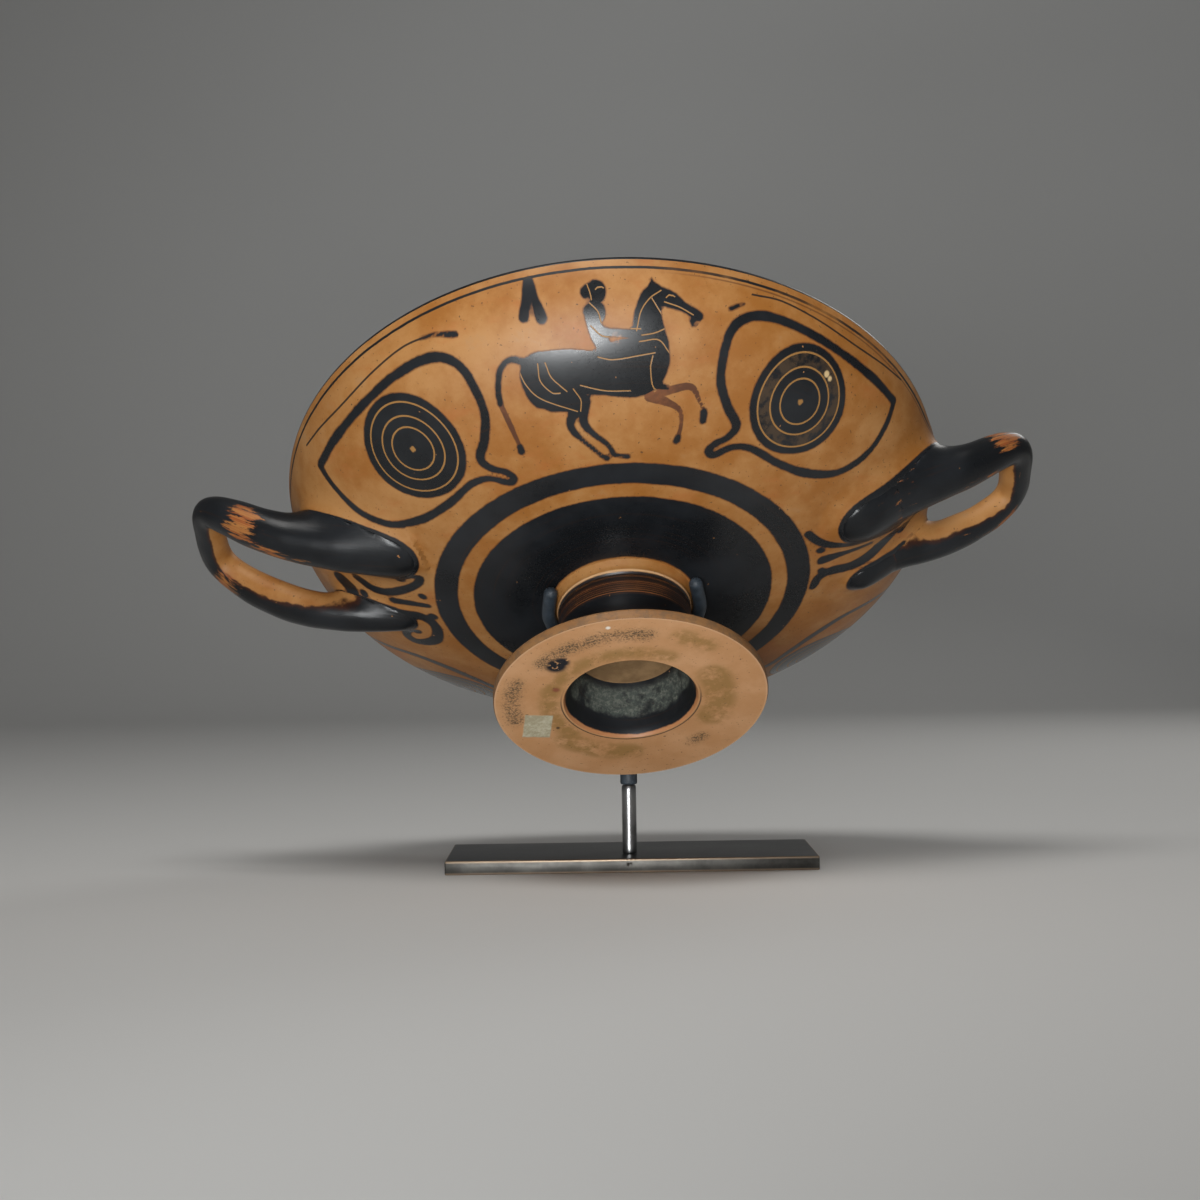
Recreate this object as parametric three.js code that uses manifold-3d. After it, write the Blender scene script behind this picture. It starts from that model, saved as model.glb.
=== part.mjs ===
// A wide, shallow ancient Greek drinking cup (a kylix) of the eye-cup kind, leaning back in a
// small cradle: a U-shaped arm round the cup's short stem, a steel post and a steel foot plate.
// Millimetres, +Z up. The origin is the centre of the foot plate's underside, the front is -Y.
// The cup is made on its own upright axis, foot at zero, and is then tilted and rolled to lean.

import * as THREE from 'three';
import { mergeVertices } from 'three/addons/utils/BufferGeometryUtils.js';
import Module from 'manifold-3d';

const wasm = await Module();
wasm.setup();

const degrees = THREE.MathUtils.degToRad;
const at = (radius, height) => new THREE.Vector2(radius, height);

// ---- driving dimensions -----------------------------------------------------------------

const CUP = {
  wall: 4.2,
  facets: 66,
  // the bowl: an almost flat floor round the stem, then one long curve up to a steep lip
  rim: at(141, 109.2),
  rimSlope: degrees(81),
  rimPull: 31.8, // how far the curve keeps each end's direction
  shoulder: at(75, 58.8),
  shoulderSlope: degrees(13),
  shoulderPull: 26,
  junction: at(30, 50.6), // where the stem meets the bowl's underside
  floorHeight: 56.5, // inside, in the middle
  // the foot: a disc with an upright edge, sweeping up into the stem
  footRadius: 57,
  footEdge: 4.8,
  footEase: 0.8,
  stemRadius: 28.2,
  footBend: at(31.2, 9.8), // pulls the sweep from the foot's edge up to the stem
  stemStart: 33, // where the sweep of the foot has become the stem
  groove: 44.6, // the turned groove under the collar at the stem's top
  grooveDepth: 0.7,
  grooveHalf: 1,
  collarSwell: 0.3, // how far the collar stands out from the stem
  // the hollow in the foot's underside
  hollowRadius: 28,
  hollowTopRadius: 21.8,
  hollowHeight: 24,
  hollowDome: 1,
  hollowBevel: 1,
};

// Into how many parts each curve of the profile is cut.
const CUTS = { foot: 6, underside: 4, wall: 11, lip: 4, inside: 9, floor: 5, lookup: 40 };

// The lip sagged a little in the making: it sits off the foot's axis and out of level.
const SAG = { from: 60, to: 105, shift: new THREE.Vector2(-1.35, -2.3), slopeX: -0.0087, slopeY: -0.0218 };

// The two handles were rolled and set on by hand, so each has its own measures below.
const HANDLE = {
  radius: 6.8,
  rootRadius: 9.2,
  tipRadius: 3.5,
  rootShare: 0.1, // the part of the line at each end that lies along the wall
  slimShare: 0.4, // where it has thinned from its root to its full slimness
  squareness: 4.7, // of the loop's outline: 2 is an ellipse, more is squarer
  upturn: 0.77, // how late the loop turns up towards its end
  splay: 0.1, // how much closer the arms stand at the bowl
  sides: 10,
  steps: 32,
};
const HANDLES = [
  { azimuth: -2, rootReach: 116, reach: 174.7, spread: 23.4, rootHeight: 81, height: 104, tip: 103 },
  { azimuth: 181, rootReach: 115, reach: 177.7, spread: 25.6, rootHeight: 69.5, height: 100, tip: 96 },
];

const PLATE = { width: 160, depth: 75, thickness: 6, ease: 0.5 };
const POST = { x: -0.7, y: -15.6, radius: 3.15, top: 36, facets: 24 };
const CRADLE = {
  radius: 2.9,
  height: 47.4, // up the cup's axis, just under the bowl
  bendRadius: 32.2,
  tipSpread: 30.6,
  tipReach: 13.5, // how far the arms run on past the stem's middle
  bendSteps: 8,
  steps: 22,
  sides: 10,
  collarRadius: 3.7,
  collarHeight: 12,
};
const GAP = 0.3; // between pieces that touch

// How the cup leans: its foot's centre, its tilt away from the front, and its roll to the left.
const LEAN = { foot: new THREE.Vector3(0.2, -69.9, 75.1), tilt: degrees(36.9), roll: degrees(2.96) };

// ---- solids -----------------------------------------------------------------------------

// A closed geometry as a solid that can be joined and cut.
function toSolid(geometry) {
  const bare = geometry.clone();
  bare.deleteAttribute('normal');
  bare.deleteAttribute('uv');
  const merged = mergeVertices(bare);
  return new wasm.Manifold(new wasm.Mesh({
    numProp: 3,
    vertProperties: new Float32Array(merged.attributes.position.array),
    triVerts: new Uint32Array(merged.index.array),
  }));
}

function toGeometry(solid) {
  const mesh = solid.getMesh();
  const geometry = new THREE.BufferGeometry();
  geometry.setAttribute('position', new THREE.BufferAttribute(mesh.vertProperties, 3));
  geometry.setIndex(new THREE.BufferAttribute(mesh.triVerts, 1));
  geometry.computeVertexNormals();
  return geometry;
}

// A profile of (radius, height) points turned round the Z axis.
function turned(profile, facets) {
  return new THREE.LatheGeometry(profile, facets).rotateX(Math.PI / 2);
}

function cylinder(radius, bottom, top, facets) {
  const geometry = new THREE.CylinderGeometry(radius, radius, top - bottom, facets);
  return geometry.rotateX(Math.PI / 2).translate(0, 0, (bottom + top) / 2);
}

// A round bar along a curve, closed at both ends, whose radius may change along it.
function bar(curve, steps, sides, radiusAt) {
  const frames = curve.computeFrenetFrames(steps, false);
  const centres = curve.getSpacedPoints(steps);
  const corners = [];
  for (let i = 0; i <= steps; i += 1) {
    const radius = radiusAt(i / steps);
    for (let j = 0; j < sides; j += 1) {
      const turn = (2 * Math.PI * j) / sides;
      const corner = frames.normals[i].clone().multiplyScalar(radius * Math.cos(turn));
      corner.addScaledVector(frames.binormals[i], radius * Math.sin(turn));
      corners.push(...corner.add(centres[i]).toArray());
    }
  }
  const faces = [];
  for (let i = 0; i < steps; i += 1) {
    for (let j = 0; j < sides; j += 1) {
      const a = i * sides + j;
      const b = i * sides + ((j + 1) % sides);
      faces.push(a, b, a + sides, b, b + sides, a + sides);
    }
  }
  const last = steps * sides;
  for (let j = 1; j < sides - 1; j += 1) {
    faces.push(0, j + 1, j, last, last + j, last + j + 1);
  }
  const geometry = new THREE.BufferGeometry();
  geometry.setAttribute('position', new THREE.Float32BufferAttribute(corners, 3));
  geometry.setIndex(faces);
  return geometry;
}

function sweepPoints(from, bend, to, steps) {
  return new THREE.QuadraticBezierCurve(from, bend, to).getPoints(steps);
}

// ---- the cup ----------------------------------------------------------------------------

// The point at a distance from another, in the direction of a slope.
function along(point, slope, distance) {
  return at(point.x + distance * Math.cos(slope), point.y + distance * Math.sin(slope));
}

// The outside of the bowl's wall, from the shoulder up to the rim.
function wallCurve() {
  const { shoulder, shoulderSlope, shoulderPull, rim, rimSlope, rimPull } = CUP;
  const leave = along(shoulder, shoulderSlope, shoulderPull);
  const arrive = along(rim, rimSlope, -rimPull);
  return new THREE.CubicBezierCurve(shoulder, leave, arrive, rim);
}

// The wall's outside pushed inwards by a depth, at a share of its way up.
function insideWall(share, depth) {
  const curve = wallCurve();
  const tangent = curve.getTangent(share);
  return curve.getPoint(share).add(at(-tangent.y * depth, tangent.x * depth));
}

// Height of the bowl's outside at a radius between the shoulder and the rim.
function wallHeightAt(radius) {
  const points = wallCurve().getPoints(CUTS.lookup);
  const above = points.findIndex((point) => point.x > radius);
  const [low, high] = [points[above - 1], points[above]];
  return THREE.MathUtils.mapLinear(radius, low.x, high.x, low.y, high.y);
}

// Down the inside from the lip, and across the floor to the middle.
function insideProfile() {
  const wall = [];
  for (let i = CUTS.inside; i >= 0; i -= 1) {
    wall.push(insideWall(i / CUTS.inside, CUP.wall));
  }
  const foot = wall[CUTS.inside];
  const bend = foot.x - (foot.y - CUP.floorHeight) / Math.tan(CUP.shoulderSlope);
  const floor = sweepPoints(foot, at(bend, CUP.floorHeight), at(0, CUP.floorHeight), CUTS.floor);
  return [...wall, ...floor.slice(1)];
}

function hollowProfile() {
  const { hollowRadius, hollowTopRadius, hollowHeight, hollowDome, hollowBevel } = CUP;
  return [
    at(0, hollowHeight + hollowDome),
    at(hollowTopRadius, hollowHeight),
    at(hollowRadius - hollowBevel, hollowBevel),
    at(hollowRadius, 0),
  ];
}

function footAndStemProfile() {
  const { footRadius, footEdge, footEase, footBend, junction } = CUP;
  const { stemRadius, stemStart, groove, grooveDepth, grooveHalf, collarSwell } = CUP;
  const edgeTop = at(footRadius - 2 * footEase, footEdge);
  return [
    at(footRadius - footEase / 2, 0),
    at(footRadius, footEase),
    at(footRadius, footEdge - footEase),
    ...sweepPoints(edgeTop, footBend, at(stemRadius, stemStart), CUTS.foot),
    at(stemRadius, groove - grooveHalf),
    at(stemRadius - grooveDepth, groove),
    at(stemRadius + collarSwell, groove + grooveHalf),
    at(stemRadius + collarSwell, (groove + junction.y) / 2),
    junction,
  ];
}

function bowlOutsideProfile() {
  const { shoulder, shoulderSlope, junction, wall, rimSlope } = CUP;
  const middle = (junction.x + shoulder.x) / 2;
  const bend = at(middle, shoulder.y - (shoulder.x - middle) * Math.tan(shoulderSlope));
  const lip = insideWall(1, wall / 2);
  const start = rimSlope - Math.PI / 2;
  const lipArc = new THREE.EllipseCurve(lip.x, lip.y, wall / 2, wall / 2, start, start + Math.PI);
  return [
    ...sweepPoints(junction, bend, shoulder, CUTS.underside).slice(1),
    ...wallCurve().getPoints(CUTS.wall).slice(1),
    ...lipArc.getPoints(CUTS.lip).slice(1, -1),
  ];
}

// Moves the points of an upright geometry as the lip sagged.
function sagged(geometry) {
  const points = geometry.attributes.position;
  for (let i = 0; i < points.count; i += 1) {
    const [x, y, z] = [points.getX(i), points.getY(i), points.getZ(i)];
    const share = THREE.MathUtils.smoothstep(z, SAG.from, SAG.to);
    const drop = SAG.slopeX * x + SAG.slopeY * y;
    points.setXYZ(i, x + share * SAG.shift.x, y + share * SAG.shift.y, z + share * drop);
  }
  return geometry;
}

function cupBody() {
  const profile = [
    ...hollowProfile(),
    ...footAndStemProfile(),
    ...bowlOutsideProfile(),
    ...insideProfile(),
  ];
  return toSolid(sagged(turned(profile, CUP.facets)));
}

// The space inside the bowl, which trims the handles' ends flush with the wall.
function bowlSpace() {
  const profile = insideProfile().reverse();
  const lip = profile[profile.length - 1];
  const above = lip.y + CUP.wall * 3;
  return toSolid(sagged(turned([...profile, at(lip.x, above), at(0, above)], CUP.facets)));
}

// One handle's centre line. It starts on the bowl's wall, runs out along one arm, round the
// loop's end and back. Along its loop, "out" goes from 0 at the bowl to 1 at the far end.
class HandleLine extends THREE.Curve {
  constructor(measures) {
    super();
    this.measures = measures;
  }

  loopPoint(angle) {
    const { rootReach, reach, spread, rootHeight, height } = this.measures;
    const power = 2 / HANDLE.squareness;
    const out = Math.abs(Math.cos(angle)) ** power;
    const side = Math.sign(angle) * Math.abs(Math.sin(angle)) ** power;
    return new THREE.Vector3(
      rootReach + (reach - rootReach) * out,
      spread * side * (1 - HANDLE.splay * (1 - out)),
      rootHeight + (height - rootHeight) * out * (1 - HANDLE.upturn * (1 - out)),
    );
  }

  getPoint(t) {
    const { rootShare } = HANDLE;
    const fromEnd = Math.min(t, 1 - t);
    if (fromEnd >= rootShare) {
      return this.loopPoint(((t - 0.5) / (0.5 - rootShare)) * (Math.PI / 2));
    }
    const root = this.loopPoint(Math.sign(t - 0.5) * (Math.PI / 2));
    const { tip } = this.measures;
    const end = new THREE.Vector3(tip, root.y, wallHeightAt(Math.hypot(tip, root.y)));
    return end.lerp(root, fromEnd / rootShare);
  }
}

// Thickest where the arm leaves the bowl, slimmer round the loop, and fading into the wall.
function handleRadius(t) {
  const { radius, rootRadius, tipRadius, rootShare, slimShare } = HANDLE;
  const fromEnd = Math.min(t, 1 - t);
  if (fromEnd < rootShare) {
    return THREE.MathUtils.lerp(tipRadius, rootRadius, Math.sqrt(fromEnd / rootShare));
  }
  const share = THREE.MathUtils.smoothstep(fromEnd, rootShare, slimShare);
  return THREE.MathUtils.lerp(rootRadius, radius, share);
}

function cupSolid() {
  let solid = cupBody();
  const space = bowlSpace();
  for (const measures of HANDLES) {
    const handle = bar(new HandleLine(measures), HANDLE.steps, HANDLE.sides, handleRadius);
    handle.rotateZ(degrees(measures.azimuth));
    solid = solid.add(toSolid(handle).subtract(space));
  }
  return solid;
}

// ---- the stand --------------------------------------------------------------------------

// The cup's place as a matrix: points on the cup's own axis become points of the stand.
function leanMatrix() {
  const turn = new THREE.Euler(-LEAN.tilt, -LEAN.roll, 0, 'YXZ');
  return new THREE.Matrix4().makeRotationFromEuler(turn).setPosition(LEAN.foot);
}

// The cradle's U lies in a plane across the cup's axis, bent round the stem's back.
function cradleLine() {
  const { height, bendRadius, tipSpread, tipReach, bendSteps } = CRADLE;
  const half = [];
  for (let i = 0; i < bendSteps; i += 1) {
    const angle = (Math.PI / 2) * (i / bendSteps);
    half.push(new THREE.Vector3(bendRadius * Math.cos(angle), bendRadius * Math.sin(angle), height));
  }
  half.unshift(new THREE.Vector3(tipSpread, -tipReach, height));
  const mirrored = half.map((point) => new THREE.Vector3(-point.x, point.y, height)).reverse();
  const back = new THREE.Vector3(0, bendRadius, height);
  return new THREE.CatmullRomCurve3([...half, back, ...mirrored]);
}

function cradleSolid() {
  const { radius, sides, steps, collarRadius, collarHeight } = CRADLE;
  const line = cradleLine();
  const lean = leanMatrix();
  let solid = toSolid(bar(line, steps, sides, () => radius).applyMatrix4(lean));
  for (const end of [line.getPoint(0), line.getPoint(1)]) {
    const tip = new THREE.SphereGeometry(radius, sides, sides / 2);
    solid = solid.add(toSolid(tip.translate(...end.applyMatrix4(lean).toArray())));
  }
  const back = line.getPoint(0.5).applyMatrix4(lean);
  const collarFoot = POST.top + GAP;
  const neck = cylinder(radius, collarFoot, back.z - GAP, sides);
  const collar = cylinder(collarRadius, collarFoot, collarFoot + collarHeight, POST.facets);
  for (const piece of [neck, collar]) {
    solid = solid.add(toSolid(piece.translate(POST.x, POST.y, 0)));
  }
  return solid;
}

function plateGeometry() {
  const { width, depth, thickness, ease } = PLATE;
  const outline = new THREE.Shape();
  const x = width / 2 - ease;
  const y = depth / 2 - ease;
  outline.moveTo(-x, -y).lineTo(x, -y).lineTo(x, y).lineTo(-x, y).closePath();
  const settings = {
    depth: thickness - 2 * ease,
    bevelEnabled: true,
    bevelThickness: ease,
    bevelSize: ease,
    bevelSegments: 1,
  };
  return new THREE.ExtrudeGeometry(outline, settings).translate(0, 0, ease);
}

// ---- the object -------------------------------------------------------------------------

function piece(name, geometry, color, roughness, metalness) {
  const material = new THREE.MeshStandardMaterial({ color, roughness, metalness });
  const mesh = new THREE.Mesh(geometry, material);
  mesh.name = name;
  return mesh;
}

const kylix = new THREE.Group();

const cup = piece('kylix_cup', toGeometry(cupSolid()), 0xb8763a, 0.45, 0);
cup.applyMatrix4(leanMatrix());
kylix.add(cup);

kylix.add(piece('cradle_arm', toGeometry(cradleSolid()), 0x2c3238, 0.6, 0));

const post = cylinder(POST.radius, PLATE.thickness + GAP, POST.top, POST.facets);
const postMesh = piece('cradle_post', post, 0x8d8f90, 0.3, 1);
postMesh.position.set(POST.x, POST.y, 0);
kylix.add(postMesh);

kylix.add(piece('foot_plate', plateGeometry(), 0x6f6a62, 0.35, 1));

export default kylix;
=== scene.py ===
import math

import bpy
import numpy as np
from mathutils import Matrix, Vector


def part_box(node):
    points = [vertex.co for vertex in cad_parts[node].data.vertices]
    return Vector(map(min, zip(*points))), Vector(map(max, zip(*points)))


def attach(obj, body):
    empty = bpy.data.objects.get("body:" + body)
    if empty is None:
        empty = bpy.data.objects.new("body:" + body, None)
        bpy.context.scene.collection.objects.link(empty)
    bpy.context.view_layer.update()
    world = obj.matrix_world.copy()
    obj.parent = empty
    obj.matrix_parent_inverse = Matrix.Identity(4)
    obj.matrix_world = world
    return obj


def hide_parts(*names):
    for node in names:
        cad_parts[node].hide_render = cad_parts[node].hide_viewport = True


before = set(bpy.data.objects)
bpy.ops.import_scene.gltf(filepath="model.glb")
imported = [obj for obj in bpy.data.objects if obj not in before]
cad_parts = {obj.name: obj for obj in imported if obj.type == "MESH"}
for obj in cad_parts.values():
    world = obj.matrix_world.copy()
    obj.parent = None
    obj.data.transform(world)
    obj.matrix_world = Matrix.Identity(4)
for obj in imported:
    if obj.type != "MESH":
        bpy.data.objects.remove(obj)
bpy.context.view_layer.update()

bl_info = {
    "name": "Kylix on a stand",
    "version": (1, 0, 0),
    "blender": (4, 5, 0),
    "location": "3D View > Sidebar > Kylix",
    "description": "Builds a painted two-handled drinking cup lying in the fork of a small stand",
    "category": "Object",
}

MM = 0.001
PLATE_LOW, PLATE_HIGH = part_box("foot_plate")
POST_LOW, POST_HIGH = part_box("cradle_post")


# ---- settings -----------------------------------------------------------------------------


def length(name, description, default):
    """A length property, in metres."""
    return bpy.props.FloatProperty(
        name=name, description=description, default=default, min=0.0, unit="LENGTH", precision=4
    )


def power(name, description, default):
    """A light's power property, in watts."""
    return bpy.props.FloatProperty(
        name=name, description=description, default=default, min=0.0, unit="POWER"
    )


def angle(name, description, degrees):
    """An angle property, its default given in degrees."""
    return bpy.props.FloatProperty(
        name=name, description=description, default=math.radians(degrees), unit="ROTATION"
    )


def colour(name, description, default):
    """A linear colour property."""
    return bpy.props.FloatVectorProperty(
        name=name, description=description, default=default, min=0.0, max=1.0, subtype="COLOR", size=3
    )


class CupSettings(bpy.types.PropertyGroup):
    """Sizes and colours of the cup."""

    wall: length("Wall", "Thickness of the bowl's wall", 0.0042)
    rim_radius: length("Rim radius", "Radius of the outside at the rim", 0.141)
    rim_height: length("Rim height", "Height of the rim above the foot", 0.1092)
    foot_radius: length("Foot radius", "Radius of the foot's disc", 0.057)
    stem_radius: length("Stem radius", "Radius of the stem", 0.0282)
    hollow_radius: length("Hollow radius", "Radius of the hollow's mouth under the foot", 0.028)
    handle_radius: length("Handle radius", "Radius of a handle along its loop", 0.0068)
    handle_root: length("Handle root", "Radius of a handle where it leaves the bowl", 0.0096)
    blend: length("Blend", "How widely a handle's root is smoothed into the bowl", 0.018)
    tilt: angle("Tilt", "How far the cup leans back", 36.9)
    roll: angle("Roll", "How far the cup leans to its left", 2.96)
    clay: colour("Clay", "Fired clay of the outside", (0.315, 0.140, 0.032))
    clay_pale: colour("Pale clay", "Unslipped clay under the foot", (0.52, 0.285, 0.140))
    glaze: colour("Black gloss", "Thick black slip", (0.0060, 0.0068, 0.0080))
    dilute: colour("Thin slip", "Black slip where it is thinned to brown", (0.060, 0.017, 0.006))


class StandSettings(bpy.types.PropertyGroup):
    """Sizes and colours of the stand."""

    sleeve_radius: length("Sleeve radius", "Radius of the sleeved fork", 0.0029)
    collar_radius: length("Collar radius", "Radius of the collar on the rod", 0.0037)
    collar_height: length("Collar height", "Height of the collar", 0.012)
    plate_ease: length("Plate easing", "Rounding of the plate's edges", 0.0005)
    sleeve: colour("Sleeve", "Dark sleeve on the fork", (0.019, 0.026, 0.034))
    steel: colour("Steel", "Bare rod", (0.30, 0.30, 0.30))
    plate: colour("Plate", "Darkened metal of the plate's top", (0.012, 0.013, 0.015))
    plate_edge: colour("Plate edge", "Brushed metal of the plate's sides", (0.075, 0.072, 0.066))


class StageSettings(bpy.types.PropertyGroup):
    """Camera and light."""

    lens: bpy.props.FloatProperty(
        name="Lens", description="Focal length of the camera", default=75.0, min=1.0, unit="CAMERA"
    )
    camera: bpy.props.FloatVectorProperty(
        name="Camera", description="Place of the camera", default=(-0.012, -1.1034, 0.1165),
        subtype="TRANSLATION", unit="LENGTH", size=3,
    )
    camera_roll: angle("Camera roll", "Roll of the camera about its view", 0.87)
    key: power("Key light", "Power of the light behind the camera", 1.15)
    low: power("Low light", "Power of the low strip that shines on the slip", 0.36)
    fill: power("Fill light", "Power of the light from above, twice that of the one behind", 6.0)
    backdrop: colour("Backdrop", "Pale floor and backdrop", (0.62, 0.62, 0.61))


# ---- shader maths -------------------------------------------------------------------------


class Wire:
    """A node's output. Arithmetic on it adds the Math nodes that it needs."""

    def __init__(self, finish, socket):
        self.finish = finish
        self.socket = socket

    def math(self, operation, *values):
        """A Math node on some wires or numbers."""
        inputs = dict(enumerate(values))
        return self.finish.node("ShaderNodeMath", {"operation": operation}, inputs)

    def __add__(self, other):
        return self.math("ADD", self, other)

    def __radd__(self, other):
        return self.math("ADD", other, self)

    def __sub__(self, other):
        return self.math("SUBTRACT", self, other)

    def __rsub__(self, other):
        return self.math("SUBTRACT", other, self)

    def __mul__(self, other):
        return self.math("MULTIPLY", self, other)

    def __rmul__(self, other):
        return self.math("MULTIPLY", other, self)

    def __abs__(self):
        return self.math("ABSOLUTE", self)

    def least(self, other):
        """The lesser of two wires."""
        return self.math("MINIMUM", self, other)

    def most(self, other):
        """The greater of two wires."""
        return self.math("MAXIMUM", self, other)


class Finish:
    """One material and the nodes it is built from."""

    def __init__(self, name, metallic=0.0, specular=0.5):
        self.material = bpy.data.materials.new(name)
        self.material.use_nodes = True
        self.tree = self.material.node_tree
        self.tree.nodes.clear()
        self.surface = self.tree.nodes.new("ShaderNodeBsdfPrincipled")
        output = self.tree.nodes.new("ShaderNodeOutputMaterial")
        self.tree.links.new(self.surface.outputs[0], output.inputs[0])
        self.surface.inputs["Metallic"].default_value = metallic
        self.surface.inputs["Specular IOR Level"].default_value = specular

    def node(self, kind, settings=None, inputs=None, output=0):
        """Any node: its type, its settings, and the values or wires of its sockets."""
        made = self.tree.nodes.new(kind)
        for key, value in (settings or {}).items():
            setattr(made, key, value)
        for key, value in (inputs or {}).items():
            self.plug(made.inputs[key], value)
        return Wire(self, made.outputs[output])

    def plug(self, socket, value):
        """Links a wire to a socket, or sets the socket's own value."""
        if isinstance(value, Wire):
            self.tree.links.new(value.socket, socket)
        elif socket.type == "RGBA" and len(value) == 3:
            socket.default_value = (*value, 1.0)
        else:
            socket.default_value = value

    def set(self, **values):
        """Feeds the surface's sockets, an underline standing for each space in their names."""
        for key, value in values.items():
            self.plug(self.surface.inputs[key.replace("_", " ")], value)

    def value(self, name):
        """A number kept on the mesh."""
        return self.node("ShaderNodeAttribute", {"attribute_name": name}, output="Fac")

    def vector(self, name):
        """A vector kept on the mesh."""
        return self.node("ShaderNodeAttribute", {"attribute_name": name}, output="Vector")

    def position(self):
        """The place on the object, in metres."""
        return self.node("ShaderNodeTexCoord", output="Object")

    def step(self, value, start, end):
        """0 at the start and 1 at the end, smooth between them."""
        return self.node(
            "ShaderNodeMapRange",
            {"interpolation_type": "SMOOTHSTEP"},
            {"Value": value, "From Min": start, "From Max": end},
        )

    def mix(self, share, first, second):
        """Two colours mixed."""
        return self.node(
            "ShaderNodeMix", {"data_type": "RGBA"}, {0: share, 6: first, 7: second}, output=2
        )

    def noise(self, vector, scale, detail=3.0, roughness=0.55):
        """Cloudy values about 0.5."""
        return self.node(
            "ShaderNodeTexNoise",
            {},
            {"Vector": vector, "Scale": scale, "Detail": detail, "Roughness": roughness},
        )

    def stretched(self, vector, scale):
        """A vector whose parts are scaled apart."""
        return self.node("ShaderNodeVectorMath", {"operation": "MULTIPLY"}, {0: vector, 1: scale})

    def part(self, vector, axis):
        """One part of a vector: 0, 1 or 2."""
        return self.node("ShaderNodeSeparateXYZ", {}, {0: vector}, output=axis)

    def bump(self, height, distance, strength):
        """Fine relief, its depth in metres."""
        normal = self.node(
            "ShaderNodeBump", {}, {"Height": height, "Distance": distance, "Strength": strength}
        )
        self.set(Normal=normal)


def tinted(colour, share):
    """A colour made lighter or darker, by one share or by one for each of its parts."""
    shares = share if isinstance(share, tuple) else (share,) * 3
    return tuple(min(1.0, value * part) for value, part in zip(colour, shares))


# ---- mesh helpers -------------------------------------------------------------------------


def smoothstep(value, low, high):
    """0 up to the low value and 1 from the high one, smooth between them."""
    share = np.clip((value - low) / (high - low), 0.0, 1.0)
    return share * share * (3.0 - 2.0 * share)


def bezier(points, count):
    """Points along a quadratic or cubic curve."""
    share = np.linspace(0.0, 1.0, count)[:, None]
    rest = 1.0 - share
    points = [np.array(point, float) for point in points]
    if len(points) == 3:
        return rest**2 * points[0] + 2 * rest * share * points[1] + share**2 * points[2]
    first = rest**3 * points[0] + 3 * rest**2 * share * points[1]
    return first + 3 * rest * share**2 * points[2] + share**3 * points[3]


def run_along(path, start=0.0):
    """How far along a path each of its points is."""
    steps = np.linalg.norm(np.diff(path, axis=0), axis=1)
    return start + np.concatenate([[0.0], np.cumsum(steps)])


def evenly(points, spacing):
    """A path's points again, at an even spacing, its ends kept."""
    points = np.array(points, float)
    run = run_along(points)
    count = max(2, int(round(run[-1] / spacing)) + 1)
    at = np.linspace(0.0, run[-1], count)
    return np.stack([np.interp(at, run, points[:, axis]) for axis in range(points.shape[1])], 1)


def rounded(points, cuts=6):
    """A smooth path through a few points, whose further values run along with it."""
    points = np.array(points, float)
    padded = np.vstack([2 * points[:1] - points[1:2], points, 2 * points[-1:] - points[-2:-1]])
    share = np.linspace(0.0, 1.0, cuts, endpoint=False)[:, None]
    made = []
    for a, b, c, d in zip(padded, padded[1:], padded[2:], padded[3:]):
        bend = (2 * a - 5 * b + 4 * c - d) * share**2 + (3 * b - a - 3 * c + d) * share**3
        made.append(b + 0.5 * ((c - a) * share + bend))
    return np.vstack([*made, points[-1:]])


def lumps(points, size, seed):
    """A slow, smooth unevenness between about -1 and 1."""
    chance = np.random.default_rng(seed)
    total = np.zeros(len(points))
    for _ in range(5):
        direction = chance.normal(size=3)
        direction *= 2 * math.pi / (size * np.linalg.norm(direction) * chance.uniform(0.8, 1.6))
        total += np.sin(points @ direction + chance.uniform(0, 2 * math.pi))
    return total / 3.0


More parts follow.
